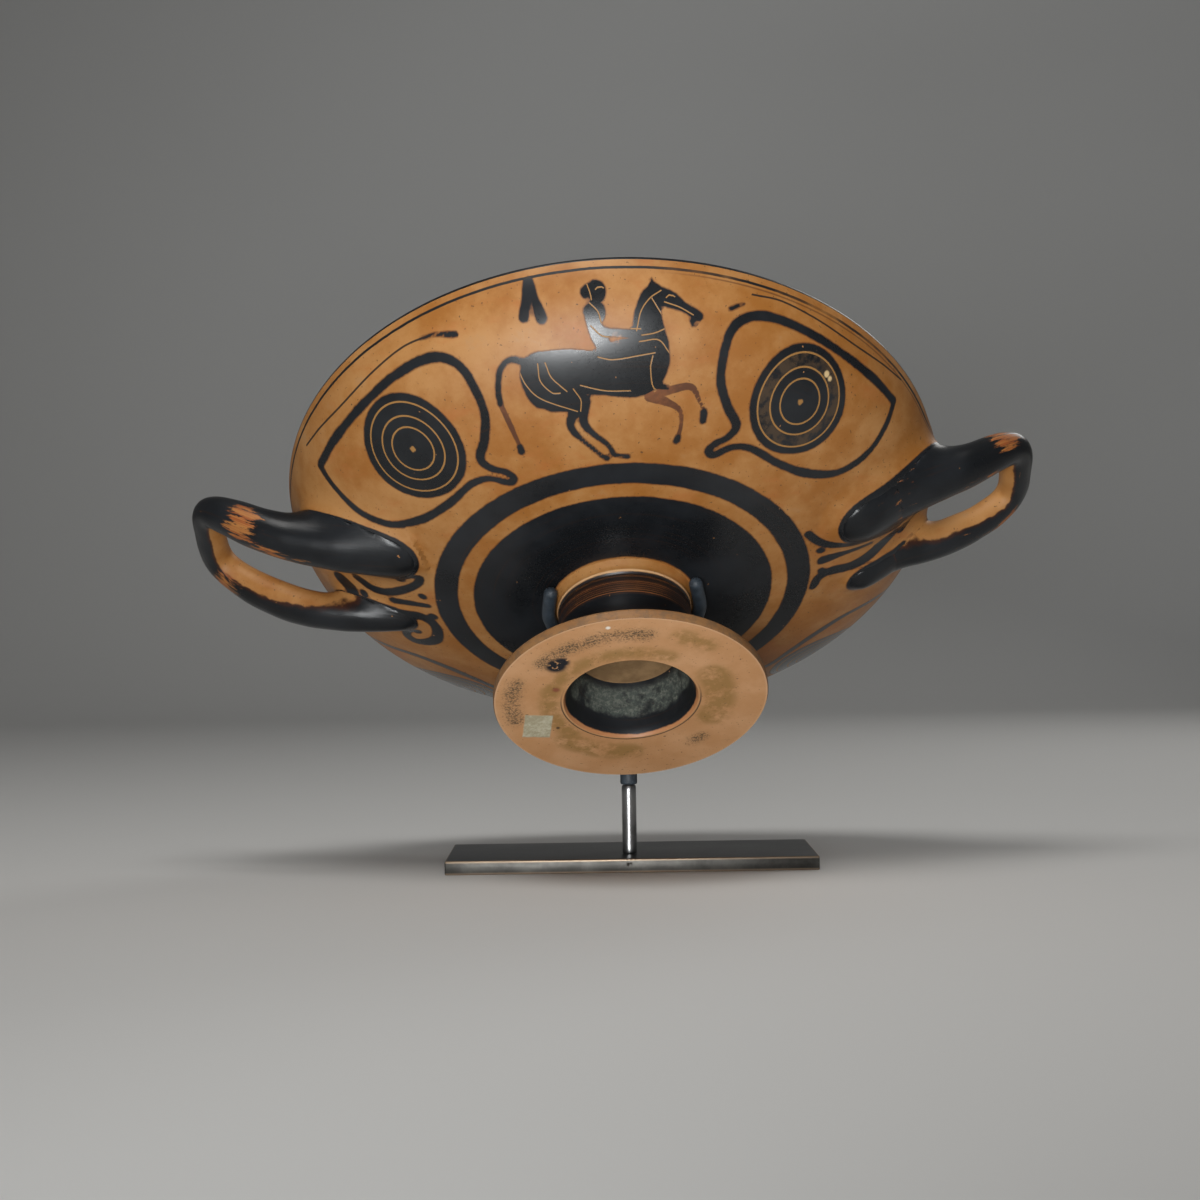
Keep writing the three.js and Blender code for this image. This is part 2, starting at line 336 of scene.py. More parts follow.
class Shell:
    """Collects one mesh: points, faces, finishes, the bake's map and what the finishes read."""

    def __init__(self):
        self.points = {}
        self.rows = {}
        self.count = 0
        self.faces = []
        self.finish = []
        self.map = []
        self.marks = {}

    def add_points(self, name, points):
        """Adds a named run of points and gives the first one's number."""
        first = self.count
        self.points[name] = np.asarray(points, float)
        self.count += len(points)
        self.rows[name] = slice(first, self.count)
        return first

    def note(self, kind, name, values, blank=0.0):
        """Notes a number or a vector for each point of a run. Other runs have the blank one."""
        self.marks.setdefault(kind, (blank, {}))[1][name] = np.asarray(values, float)

    def add_grid(self, name, grid, finish, spots):
        """Rings of points as quads. Spots give the map's place of each point, one column more."""
        rows, columns = grid.shape[:2]
        first = self.add_points(name, grid.reshape(-1, 3))
        index = first + np.arange(rows * columns).reshape(rows, columns)
        index = np.hstack([index, index[:, :1]])
        low, high = index[:-1], index[1:]
        quads = np.stack([low[:, :-1], low[:, 1:], high[:, 1:], high[:, :-1]], -1)
        corners = [spots[:-1, :-1], spots[:-1, 1:], spots[1:, 1:], spots[1:, :-1]]
        self.add_faces(quads.reshape(-1, 4), finish, np.stack(corners, 2).reshape(-1, 4, 2))
        return index

    def close_ends(self, rows, finish, spot):
        """Flat faces over the first and last rings of a grid."""
        for ring, order in ((rows[0][:-1], -1), (rows[-1][:-1], 1)):
            self.add_faces([list(ring)[::order]], finish, [[spot] * len(ring)])

    def add_faces(self, faces, finish, spots):
        """Faces as lists of point numbers, with the map's place of each corner in turn."""
        self.faces.extend(np.asarray(faces).tolist())
        self.finish.extend([finish] * len(faces))
        self.map.append(np.asarray(spots, float).reshape(-1, 2))

    def mesh(self, name, finishes, crease=50.0):
        """The mesh, smooth but for edges sharper than the crease, in degrees."""
        mesh = bpy.data.meshes.new(name)
        mesh.from_pydata(np.vstack(list(self.points.values())).tolist(), [], self.faces)
        for finish in finishes:
            mesh.materials.append(finish.material)
        mesh.polygons.foreach_set("material_index", self.finish)
        mesh.polygons.foreach_set("use_smooth", [True] * len(self.faces))
        layer = mesh.uv_layers.new(name="OFBake")
        layer.data.foreach_set("uv", np.vstack(self.map).ravel())
        mesh.update()
        mesh.set_sharp_from_angle(angle=math.radians(crease))
        for kind, (blank, runs) in self.marks.items():
            width = next(iter(runs.values())).shape[1:]
            stored = np.full((self.count, *width), blank)
            for name, values in runs.items():
                stored[self.rows[name]] = values
            form, field = ("FLOAT_VECTOR", "vector") if width else ("FLOAT", "value")
            mesh.attributes.new(kind, form, "POINT").data.foreach_set(field, stored.ravel())
        return mesh


def place_piece(mesh, node):
    """Makes a mesh the visible piece of one node."""
    piece = bpy.data.objects.new("dressed_" + node, mesh)
    bpy.context.scene.collection.objects.link(piece)
    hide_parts(node)
    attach(piece, "root")


def round_turns(count):
    """Angles evenly spaced once round."""
    return np.linspace(0.0, 2 * math.pi, count, endpoint=False)


def tube(line, radii, sides):
    """Rings of points round a path, turned no more than it asks, and their ways out."""
    ahead = np.gradient(line, axis=0)
    ahead /= np.linalg.norm(ahead, axis=1)[:, None]
    side = np.cross(ahead[0], [0.0, 0.0, 1.0])
    if np.linalg.norm(side) < 0.1:
        side = np.cross(ahead[0], [1.0, 0.0, 0.0])
    turns = round_turns(sides)
    rings = []
    outwards = []
    for centre, forward, radius in zip(line, ahead, radii):
        side = side - forward * (side @ forward)
        side /= np.linalg.norm(side)
        other = np.cross(forward, side)
        ring = np.cos(turns)[:, None] * side + np.sin(turns)[:, None] * other
        rings.append(centre + radius * ring)
        outwards.append(ring)
    return np.array(rings), np.array(outwards)


def domed(line, radii, cuts=8):
    """A line and its radii, with a half-round end added beyond each of its ends."""
    line = np.array(line, float)
    first, last = radii[0], radii[-1]
    start = (line[0] - line[1]) / np.linalg.norm(line[0] - line[1])
    end = (line[-1] - line[-2]) / np.linalg.norm(line[-1] - line[-2])
    turns = np.linspace(0.02, math.pi / 2, cuts, endpoint=False)
    before = [line[0] + start * first * math.cos(turn) for turn in turns]
    after = [line[-1] + end * last * math.cos(turn) for turn in turns[::-1]]
    starts = [first * math.sin(turn) for turn in turns]
    ends = [last * math.sin(turn) for turn in turns[::-1]]
    return np.vstack([before, line, after]), np.array([*starts, *radii, *ends])


def strip(rows, columns, low, high):
    """Map places of a grid laid out as a rectangle, its rings from bottom to top."""
    across = np.linspace(low[0], high[0], columns)
    up = np.linspace(low[1], high[1], rows)
    return np.stack(np.meshgrid(across, up), -1)


def long_strip(rows, columns, low, high):
    """Map places of a grid laid out as a rectangle, its rings from left to right."""
    return strip(columns, rows, low, high).swapaxes(0, 1)


def around(radii, turns):
    """Flat places of rings round a middle."""
    return np.stack([radii[:, None] * np.cos(turns), radii[:, None] * np.sin(turns)], -1)


def disc(radii, turns, centre, size):
    """Map places of rings laid out round a centre. The widest ring has the given size."""
    return np.array(centre) + around(radii / radii.max() * size, turns)


# ---- the cup's shape (millimetres, upright, foot at zero) ---------------------------------

SHOULDER = (75.0, 58.8)
SHOULDER_SLOPE = math.radians(13)
SHOULDER_PULL = 26.0
RIM_SLOPE = math.radians(81)
RIM_PULL = 31.8
JUNCTION = (30.0, 50.6)
FLOOR_HEIGHT = 56.5
FOOT_EDGE = 4.8
FOOT_EASE = 0.8
FOOT_BEND = (31.2, 9.8)
STEM_START = 33.0
GROOVE = 44.6
HOLLOW_TOP = (21.8, 24.0)
FOOT_PLACE = (0.2, -69.9, 75.1)
SAG_SHIFT = (-1.35, -2.3)
SAG_SLOPE = (-0.0087, -0.0218)
SAG_START = 60.0
SAG_FULL = 105.0
PINHOLE = 0.6
COLUMNS = 520

# each handle: its bearing, then its way out of the bowl, half its width and its heights
HANDLES = (
    {
        "azimuth": -2, "tip": 103.0, "root": 116.0, "reach": 174.7,
        "spread": 23.4, "low": 81.0, "high": 104.0,
    },
    {
        "azimuth": 181, "tip": 96.0, "root": 115.0, "reach": 177.7,
        "spread": 25.6, "low": 69.5, "high": 100.0,
    },
)
HANDLE_SIDES = 26
HANDLE_ROUND = 9.0
HANDLE_APART = 60.0
ROOT_SHARE = 0.1
SLIM_SHARE = 0.4
TIP_RADIUS = 6.5
BACK_TIP_RADIUS = 4.6
BACK_ROOT = 0.83
SQUARENESS = 4.7
UPTURN = 0.77
SPLAY = 0.1
ROOT_BARE = 0.34
BACK_BLEND = 0.42
SUNK = 2.2

# worn places on each handle: how far from its front root, length, strength and the side it is on
FRONT = (0.0, -0.8, -0.6)
UP = (0.04, -0.6, 0.8)
DOWN = (-0.04, 0.6, -0.8)
AHEAD = (0.03, -0.99, 0.14)
ANY = (0.0, 0.0, 0.0)
RUBBED = (
    (
        (0.385, 0.060, 0.94, AHEAD), (0.32, 0.07, 0.82, DOWN), (0.12, 0.10, 0.62, ANY),
        (0.47, 0.05, 0.7, FRONT), (0.63, 0.07, 1.0, DOWN), (0.72, 0.10, 0.58, ANY),
    ),
    (
        (0.315, 0.055, 1.0, FRONT), (0.24, 0.09, 0.85, DOWN), (0.44, 0.05, 0.72, UP),
        (0.62, 0.06, 0.88, ANY), (0.86, 0.07, 0.62, UP), (0.10, 0.08, 0.4, ANY),
    ),
)

# arcs of soil and stain under the foot: radius, first and last bearing in degrees, half-width
SOIL = ((45.5, -140, -80, 1.6), (49.5, -192, -160, 1.3), (42.0, 46, 54, 0.4))
STAIN = (
    (37.0, -22, 24, 4.5),
    (38.5, 92, 136, 3.5),
    (47.0, -62, -48, 2.5),
    (33.0, -150, -60, 1.5),
    (34.0, 140, 200, 2.0),
)


class CupShape:
    """Profiles of the cup, from its settings."""

    def __init__(self, sizes):
        self.wall = sizes.wall / MM
        self.rim = np.array([sizes.rim_radius, sizes.rim_height]) / MM
        self.foot = sizes.foot_radius / MM
        self.stem = sizes.stem_radius / MM
        self.hollow = sizes.hollow_radius / MM
        self.handle = sizes.handle_radius / MM
        self.root = sizes.handle_root / MM
        self.blend = sizes.blend / MM
        turn = Matrix.Rotation(-sizes.roll, 3, "Y") @ Matrix.Rotation(-sizes.tilt, 3, "X")
        self.turn = np.array(turn)

    def placed(self, points):
        """Points of the upright cup, in metres on the stand."""
        return (points @ self.turn.T + np.array(FOOT_PLACE)) * MM

    def outer_wall(self):
        """The bowl's outside from its shoulder up to the rim."""
        slope = np.array([math.cos(SHOULDER_SLOPE), math.sin(SHOULDER_SLOPE)])
        rise = np.array([math.cos(RIM_SLOPE), math.sin(RIM_SLOPE)])
        start = np.array(SHOULDER)
        pulls = start + SHOULDER_PULL * slope, self.rim - RIM_PULL * rise
        return bezier([start, *pulls, self.rim], 400)

    def pushed_in(self, depth):
        """The outer wall moved into the clay by a depth."""
        wall = self.outer_wall()
        ahead = np.gradient(wall, axis=0)
        ahead /= np.linalg.norm(ahead, axis=1)[:, None]
        return wall + depth * np.stack([-ahead[:, 1], ahead[:, 0]], 1)

    def outside(self):
        """Under the bowl from the stem, and up its wall to the rim."""
        middle = (JUNCTION[0] + SHOULDER[0]) / 2
        bend = (middle, SHOULDER[1] - (SHOULDER[0] - middle) * math.tan(SHOULDER_SLOPE))
        return evenly(np.vstack([bezier([JUNCTION, bend, SHOULDER], 60), self.outer_wall()[1:]]), 1.45)

    def lip(self):
        """Half round over the rim, from the outside to the inside."""
        centre = self.pushed_in(self.wall / 2)[-1]
        turns = np.linspace(0.0, math.pi, 9) + RIM_SLOPE - math.pi / 2
        return centre + self.wall / 2 * np.stack([np.cos(turns), np.sin(turns)], 1)

    def inside(self):
        """Down from the lip, and across the floor to its middle."""
        wall = self.pushed_in(self.wall)[::-1]
        foot = wall[-1]
        bend = (foot[0] - (foot[1] - FLOOR_HEIGHT) / math.tan(SHOULDER_SLOPE), FLOOR_HEIGHT)
        floor = bezier([foot, bend, (PINHOLE, FLOOR_HEIGHT)], 60)
        return evenly(np.vstack([wall, floor[1:]]), 3.3)

    def hollow_walls(self):
        """Across the hollow's ceiling and down its wall to the mouth."""
        ceiling = evenly([(PINHOLE, HOLLOW_TOP[1] + 1), HOLLOW_TOP], 3.0)
        mouth = (self.hollow - 1, 1.0), (self.hollow - 0.3, 0.25), (self.hollow, 0.0)
        wall = evenly([HOLLOW_TOP, *mouth], 2.2)
        return np.vstack([ceiling, wall[1:]])

    def underside(self):
        """The foot's resting face, from the hollow's mouth to its edge."""
        return evenly([(self.hollow, 0.0), (self.foot - FOOT_EASE / 2, 0.0)], 1.9)

    def foot_and_stem(self):
        """Up the foot's edge, over its top and up the stem to the bowl."""
        edge = [
            (self.foot - FOOT_EASE / 2, 0.0),
            (self.foot - 0.1, 0.25),
            (self.foot, FOOT_EASE),
            (self.foot, FOOT_EDGE - FOOT_EASE),
            (self.foot - 0.4, FOOT_EDGE - 0.25),
            (self.foot - 2 * FOOT_EASE, FOOT_EDGE),
        ]
        sweep = bezier([edge[-1], FOOT_BEND, (self.stem, STEM_START)], 40)
        neck = [
            (self.stem, GROOVE - 1.0),
            (self.stem - 0.7, GROOVE),
            (self.stem + 0.3, GROOVE + 1.0),
            (self.stem + 0.3, (GROOVE + JUNCTION[1]) / 2),
            JUNCTION,
        ]
        neck = evenly(np.vstack([sweep[-1:], neck]), 0.75)
        return np.vstack([evenly(edge, 0.9), evenly(sweep, 2.2)[1:], neck[1:]])

    def sagged(self, points):
        """The lip sagged a little in the making: off the foot's axis and out of level."""
        share = smoothstep(points[..., 2], SAG_START, SAG_FULL)
        drop = SAG_SLOPE[0] * points[..., 0] + SAG_SLOPE[1] * points[..., 1]
        shift = np.stack([share * SAG_SHIFT[0], share * SAG_SHIFT[1], share * drop], -1)
        return points + shift

    def height_at(self, reach):
        """Height of the wall's outside at a reach from the axis."""
        wall = self.outer_wall()
        return float(np.interp(reach, wall[:, 0], wall[:, 1]))

    def handle_line(self, handle, count=170):
        """Centre line and radius of one handle, round its loop, and its opening's middle."""
        share = np.linspace(0.0, 1.0, count)
        from_end = np.minimum(share, 1 - share)
        turn = np.clip((share - 0.5) / (0.5 - ROOT_SHARE), -1, 1) * math.pi / 2
        exponent = 2 / SQUARENESS
        out = np.abs(np.cos(turn)) ** exponent
        side = np.sign(turn) * np.abs(np.sin(turn)) ** exponent
        root, reach, low, high = (handle[key] for key in ("root", "reach", "low", "high"))
        rise = out * (1 - UPTURN * (1 - out))
        line = np.stack([
            root + (reach - root) * out,
            handle["spread"] * side * (1 - SPLAY * (1 - out)),
            low + (high - low) * rise,
        ], 1)
        tip = handle["tip"]
        for index in np.nonzero(from_end < ROOT_SHARE)[0]:
            leaving = line[index]
            end = np.array([tip, leaving[1], self.height_at(math.hypot(tip, leaving[1]))])
            line[index] = end + (leaving - end) * from_end[index] / ROOT_SHARE
        turn = math.radians(handle["azimuth"])
        turned = np.array(Matrix.Rotation(turn, 3, "Z"))
        radius = self.handle_radii(share, handle["azimuth"] > 90)
        line = evenly(np.hstack([line @ turned.T, radius[:, None]]), 1.6)
        middle = ((root + reach) / 2 + 8, 0.0, (low + high) / 2 + 4)
        return line[:, :3], line[:, 3], turned @ middle

    def handle_radii(self, share, last_is_front):
        """A handle's radius along it: thick roots, the front one thicker, and a slim loop."""
        from_end = np.minimum(share, 1 - share)
        front = share > 0.5 if last_is_front else share < 0.5
        root = np.where(front, self.root, self.root * BACK_ROOT)
        slim = root + (self.handle - root) * smoothstep(from_end, ROOT_SHARE, SLIM_SHARE)
        tip = np.where(front, TIP_RADIUS, BACK_TIP_RADIUS)
        start = tip + (root - tip) * np.sqrt(np.clip(from_end / ROOT_SHARE, 0, 1))
        return np.where(from_end < ROOT_SHARE, start, slim)


def unsagged(points):
    """Points of the sagged cup as a reach from the axis, a height and a bearing."""
    share = smoothstep(points[:, 2], SAG_START, SAG_FULL)
    x = points[:, 0] - share * SAG_SHIFT[0]
    y = points[:, 1] - share * SAG_SHIFT[1]
    z = points[:, 2] - share * (SAG_SLOPE[0] * x + SAG_SLOPE[1] * y)
    return np.stack([np.hypot(x, y), z], 1), np.arctan2(y, x)


def ways_out(profile):
    """Unit directions out of the wall along a profile that climbs to the rim."""
    ahead = np.gradient(profile, axis=0)
    ahead /= np.linalg.norm(ahead, axis=1)[:, None]
    return np.stack([ahead[:, 1], -ahead[:, 0]], 1)


def bowl_gap(points, profile):
    """How far points are outside the bowl, below zero within it, and the way out."""
    flat, turn = unsagged(points)
    nearest = np.linalg.norm(flat[:, None] - profile[None], axis=2).argmin(axis=1)
    way = ways_out(profile)[nearest]
    gap = ((flat - profile[nearest]) * way).sum(axis=1)
    return gap, np.stack([way[:, 0] * np.cos(turn), way[:, 0] * np.sin(turn), way[:, 1]], 1)


def tube_gap(points, line, radii):
    """How far points are outside a handle, the way out, and the nearest place along it."""
    offset = points[:, None] - line[None]
    reach = np.linalg.norm(offset, axis=2)
    nearest = (reach - radii).argmin(axis=1)
    rows = np.arange(len(points))
    found = reach[rows, nearest]
    way = offset[rows, nearest] / np.maximum(found, 1e-6)[:, None]
    return found - radii[nearest], way, nearest


def blended(points, profile, line, radii, blends):
    """Points moved onto the one smooth skin that the bowl and a handle share."""
    points = points.copy()
    for _ in range(4):
        bowl, bowl_way = bowl_gap(points, profile)
        tube, tube_way, row = tube_gap(points, line, radii)
        blend = blends[row]
        near = np.clip(1 - np.abs(bowl - tube) / blend, 0, 1)
        skin = np.minimum(bowl, tube) - blend / 4 * near**2
        share = np.where(bowl < tube, 1 - near / 2, near / 2)[:, None]
        way = share * bowl_way + (1 - share) * tube_way
        points -= (skin / np.maximum((way**2).sum(axis=1), 0.3))[:, None] * way
    return points


def sunk(points, profile, shape, depth):
    """Points within the bowl, brought back to a depth under its outside."""
    flat, turn = unsagged(points)
    inner = profile - depth * ways_out(profile)
    reach = inner[np.linalg.norm(flat[:, None] - inner[None], axis=2).argmin(axis=1)]
    upright = np.stack([reach[:, 0] * np.cos(turn), reach[:, 0] * np.sin(turn), reach[:, 1]], 1)
    return shape.sagged(upright)


# ---- the painted figures (millimetres on the unrolled underside of the bowl) --------------
# The outside is drawn flat: a point's distance from the middle is its way along the profile
# from the axis, and its direction is its bearing. The front of the cup is towards -Y.

BANDS = {"disc": (30.0, 64.0), "band": (71.2, 81.1), "rim": 160.3}
# the front eyes: bearing of the iris in degrees, its reach, and 1 or -1 by the outer corner's side
EYE_BEARINGS = ((-135.3, 118.1, -1), (-50.0, 122.8, 1))
BACK_EYE_REACH = 127.0
FRONT_RIGHT = 1
IRIS = 22.6
IRIS_RINGS = (9.3, 13.8, 19.3)
LIP_BARE = 164.0
FAR = 1000.0
UNPAINTED = 50.0
# Strokes are chains of (x, y, half-width). An eye's own x leads away from the nose, and its y
# to the rim.
EYE = (
    (52, 15, 1.5), (33, 21, 1.7), (8, 25, 1.6), (-14, 25.5, 1.7), (-30, 22.5, 1.8), (-39, 17, 1.7),
    (-42.5, 8, 1.7), (-38, -6.5, 1.7), (-29, -15, 1.8), (-20.5, -20, 1.8), (-20.3, -26, 1.5),
    (-23.3, -31, 1.4), (-23.8, -35.3, 1.5), (-20.5, -35.6, 1.5), (-16, -29, 1.3), (-8, -25.8, 1.4),
    (6, -26.5, 1.6), (22, -25.5, 1.9), (36, -20.5, 1.6), (45.5, -9.5, 1.4), (50, 3, 1.3), (52, 15, 1.4),
)
BROW = ((56, 25), (40, 28), (22, 30), (-3, 32.5), (-24, 32), (-38, 28))
BROW_END = ((-34, 29.5, 0.5), (-40, 27, 0.7), (-45, 23.5, 1.0), (-49, 20.5, 1.1))
DASH = ((54.5, -137.1, 0.6), (58, -137.5, 0.6), (61.6, -137.6, 0.4))
PALMS = (
    ((-126, 8, 4.0), (-121, 11.5, 3.3), (-117, 18, 2.0)),
    ((-117, 0, 2.3), (-110, 4.4, 2.4), (-102, 3.2, 2.4), (-93, -3, 2.3), (-88, -8.7, 2.1),
     (-87, -14, 1.6), (-91, -16, 1.6), (-94.5, -14, 1.7), (-95, -10.5, 1.8)),
    ((-101, 8.9, 1.7), (-93, 8.1, 1.7), (-85, 7.8, 1.2)),
    ((-113, 16, 1.7), (-106, 16, 1.9), (-96, 16.3, 2.4), (-88, 17.5, 2.5), (-83.2, 24, 2.4),
     (-83.7, 33.7, 2.6), (-88.4, 39.3, 2.7), (-94.7, 41, 2.4), (-98, 36.6, 2.0), (-96, 30.5, 1.9),
     (-92.5, 31, 2.0)),
    ((80, -25.6, 1.6), (84.5, -19.3, 1.9), (91, -15.1, 2.2), (98.6, -14, 2.3), (107, -14.5, 2.9),
     (115, -12.8, 4.0), (122, -10.8, 3.7)),
    ((87, -5.5, 2.6), (97.4, -5.9, 1.7), (110, -6, 0.9)),
    ((83, 12, 1.8), (85.6, 6, 2.3), (90.7, 4, 2.7), (100.4, 5.8, 2.8), (109.3, 4.3, 3.1),
     (116.5, 0.1, 3.2), (123, -3, 2.6)),
    ((128, -1.8, 3.2), (136.5, -7, 2.2)),
)
DOTS = ((-115, 10.2, 1.9), (-87.2, 0.9, 1.7), (-84, 15.2, 1.8), (85.6, -13, 1.7), (86.4, 1.2, 1.5))
DROPS = (
    ((-32.5, -155, 2.4), (-33.4, -148, 1.6), (-34, -141.5, 2.2)),
    ((-32.5, -155, 2.4), (-29.3, -148, 1.6), (-26.6, -141.5, 2.5)),
)
HORSE = {
    "barrel": (
        (-27, -119.5, 9.6), (-16, -121, 9.0), (-4, -120.7, 8.2), (12, -119.3, 8.6),
        (19.5, -124.5, 6.0),
    ),
    "haunch": ((-25, -116, 10.0), (-14.3, -110, 4.4)),
    "neck": ((18.5, -128.5, 7.0), (18, -138, 6.0), (20.4, -145.5, 4.8), (23, -148.5, 3.2)),
    "head": (
        (23.5, -148, 3.2), (29, -145, 3.1), (34.2, -141.4, 1.8), (38.8, -138.2, 1.8),
        (40.4, -136.8, 1.3),
    ),
    "chin": ((36.8, -136.4, 1.0), (37.3, -134.6, 1.1)),
    "muzzle": ((38.6, -137.9, 1.7), (40.2, -137.0, 1.5)),
    "ear": ((22.6, -151.4, 1.2), (21.8, -154.0, 0.5)),
    "near_hind": (
        (-15, -107, 2.2), (-17.2, -98.8, 1.3), (-9.3, -89.4, 0.8), (-5.6, -85.6, 0.7),
        (-3.5, -84.2, 1.1),
    ),
    "far_hind": (
        (-11.2, -110, 2.6), (-11.5, -99.9, 1.4), (-2.7, -90.4, 0.9), (-0.4, -85.8, 0.8),
        (5, -84.2, 1.0),
    ),
    "tail": (
        (-34.5, -125, 1.3), (-40.5, -125.5, 1.0), (-44.8, -121.4, 1.0), (-46, -113.5, 1.2),
        (-45.4, -108, 1.2),
    ),
    "hoof": ((25.9, -91, 1.1), (25.2, -89.3, 1.4)),
    "raised_hoof": ((37.2, -100.6, 1.4), (36.6, -96.5, 1.3)),
    "tail_end": ((-38.6, -90.4, 1.0), (-38, -87.8, 1.3)),
}
HORSE_THIN = {
    "foreleg": ((15.6, -110.2, 2.4), (26.7, -103.7, 1.1), (27.4, -96.2, 0.9), (26, -91.5, 0.9)),
    "raised_foreleg": ((20, -111, 1.9), (32.4, -111.8, 1.3), (35.9, -104.8, 0.8), (37.2, -101, 0.9)),
    "tail_hair": ((-45.4, -108, 1.2), (-42.7, -101.7, 1.2), (-38.8, -91, 0.8)),
}
RIDER = {
    "head": ((-2.6, -151.8, 3.4), (-2.0, -150.4, 3.2)),
    "face": ((-0.6, -152.2, 2.2), (0.9, -150.6, 1.0), (-0.2, -148.6, 1.3)),
    "hair": ((-7.0, -150.6, 2.4), (-5.5, -151.5, 2.4)),
    "neck": ((-3.6, -148.5, 1.7), (-3.5, -146, 1.8)),
    "trunk": ((-3.2, -143.3, 4.0), (-4.6, -139.7, 3.1), (-3, -134.6, 3.2), (-0.6, -129.4, 2.8)),
    "arm": ((-6.2, -143.8, 2.3), (-4.2, -137.8, 1.8), (0.1, -135.9, 1.4), (14, -134.2, 1.3)),
    "thigh": ((-1.8, -129.4, 2.3), (13.5, -129.8, 2.9), (21.5, -129.4, 2.6)),
    "shin": ((21.3, -127, 2.8), (19.4, -119.3, 1.9), (18.9, -114.3, 1.3), (23.3, -112.6, 0.9)),
}
# fine lines cut through the black, in two sets so that no two close lines share a set
HORSE_CUTS = (
    ((-11.2, -116.2), (-2.4, -113.9), (6.9, -113.2)),
    ((-36.8, -121.4), (-34.4, -116.4), (-28.8, -111.2), (-15.1, -106.2)),
    ((-25.6, -124), (-23.8, -119.6), (-18.6, -114.8)),
    ((24.6, -148.4), (20.4, -146.6), (15.8, -142.4), (13.2, -136.4)),
    ((27.2, -144.0), (32.5, -141.6), (37, -138.5)),
)
HORSE_NICKS = (
    ((-29, -123.5), (-28.4, -118), (-24, -113.6), (-21.5, -113.4)),
    ((-14.6, -114.2), (-12.4, -110.6), (-12.7, -107)),
    ((21.6, -145.4), (24.0, -140.6)),
    ((28.2, -146.4), (29.4, -147.0), (30.5, -146.2)),
)
RIDER_CUTS = (
    ((-3.3, -126.7), (2, -125.6), (13, -126.3), (18.5, -126.6)),
    ((-5.5, -137.9), (-1.7, -134.6), (3.5, -133.8)),
    ((-6.2, -153.4), (-5.2, -150.5), (-4.9, -148.6)),
    ((15.8, -133.6), (20.4, -133.8), (25.5, -135)),
)
RIDER_NICKS = (
    ((-6.2, -147), (-2.4, -143.2), (-0.8, -138.3), (6, -136.9), (13.6, -136)),
    ((14.5, -131.4), (21.5, -131.2), (25.2, -126.2)),
    ((18.0, -124.6), (16.9, -121), (17.4, -113.3), (21.8, -111.8)),
    ((-1.9, -152.2), (-0.9, -152.9), (0.2, -152.3)),
)


def stroke_gap(points, start, end):
    """Distance of points from a straight stroke, and the share of the way along it."""
    along = end - start
    offset = points - start
    share = np.clip(offset @ along / max(along @ along, 1e-9), 0.0, 1.0)
    return np.linalg.norm(offset - share[:, None] * along, axis=1), share


def chain_gap(points, chain):
    """Distance of points from a chain of tapering strokes: below zero within them."""
    chain = np.array(chain, float)
    nearest = np.full(len(points), FAR)
    for start, end in zip(chain, chain[1:]):
        gap, share = stroke_gap(points, start[:2], end[:2])
        nearest = np.minimum(nearest, gap - start[2] - share * (end[2] - start[2]))
    return nearest


def chains_gap(points, chains):
    """Distance of points from the nearest of some chains."""
    return np.min([chain_gap(points, chain) for chain in chains], axis=0)


def merged(first, second, blend):
    """Two distances as one shape, its inner corners softened."""
    share = np.clip(0.5 + 0.5 * (second - first) / blend, 0.0, 1.0)
    return second + (first - second) * share - blend * share * (1 - share)


def line_gaps(points, lines):
    """Distance to the nearest of some fine lines, and on which side of it a point is."""
    near = np.full(len(points), FAR)
    side = np.full(len(points), FAR)
    for line in lines:
        path = rounded(line, 5)
        for start, end in zip(path, path[1:]):
            gap, _ = stroke_gap(points, start, end)
            along = (end - start) / np.linalg.norm(end - start)
            across = (points - start) @ np.array([along[1], -along[0]])
            closer = gap < near
            near = np.where(closer, gap, near)
            side = np.where(closer, across, side)
    return near, side


class EyePlace:
    """Where one eye is: its iris, and the directions away from the nose and to the rim."""

    def __init__(self, bearing, reach, hand):
        turn = math.radians(bearing)
        self.iris = reach * np.array([math.cos(turn), math.sin(turn)])
        self.up = np.array([math.cos(turn), math.sin(turn)])
        self.out = hand * np.array([-math.sin(turn), math.cos(turn)])

    def drawn(self, shape):
        """A shape's points beside this eye, any half-widths kept."""
        shape = np.array(shape, float)
        flat = self.iris + shape[:, :1] * self.out + shape[:, 1:2] * self.up
        return np.hstack([flat, shape[:, 2:]])


def eye_places():
    """The two eyes in front and the two behind."""
    front = [EyePlace(*place) for place in EYE_BEARINGS]
    back = [EyePlace(bearing + 180, BACK_EYE_REACH, hand) for bearing, _, hand in EYE_BEARINGS]
    return front + back


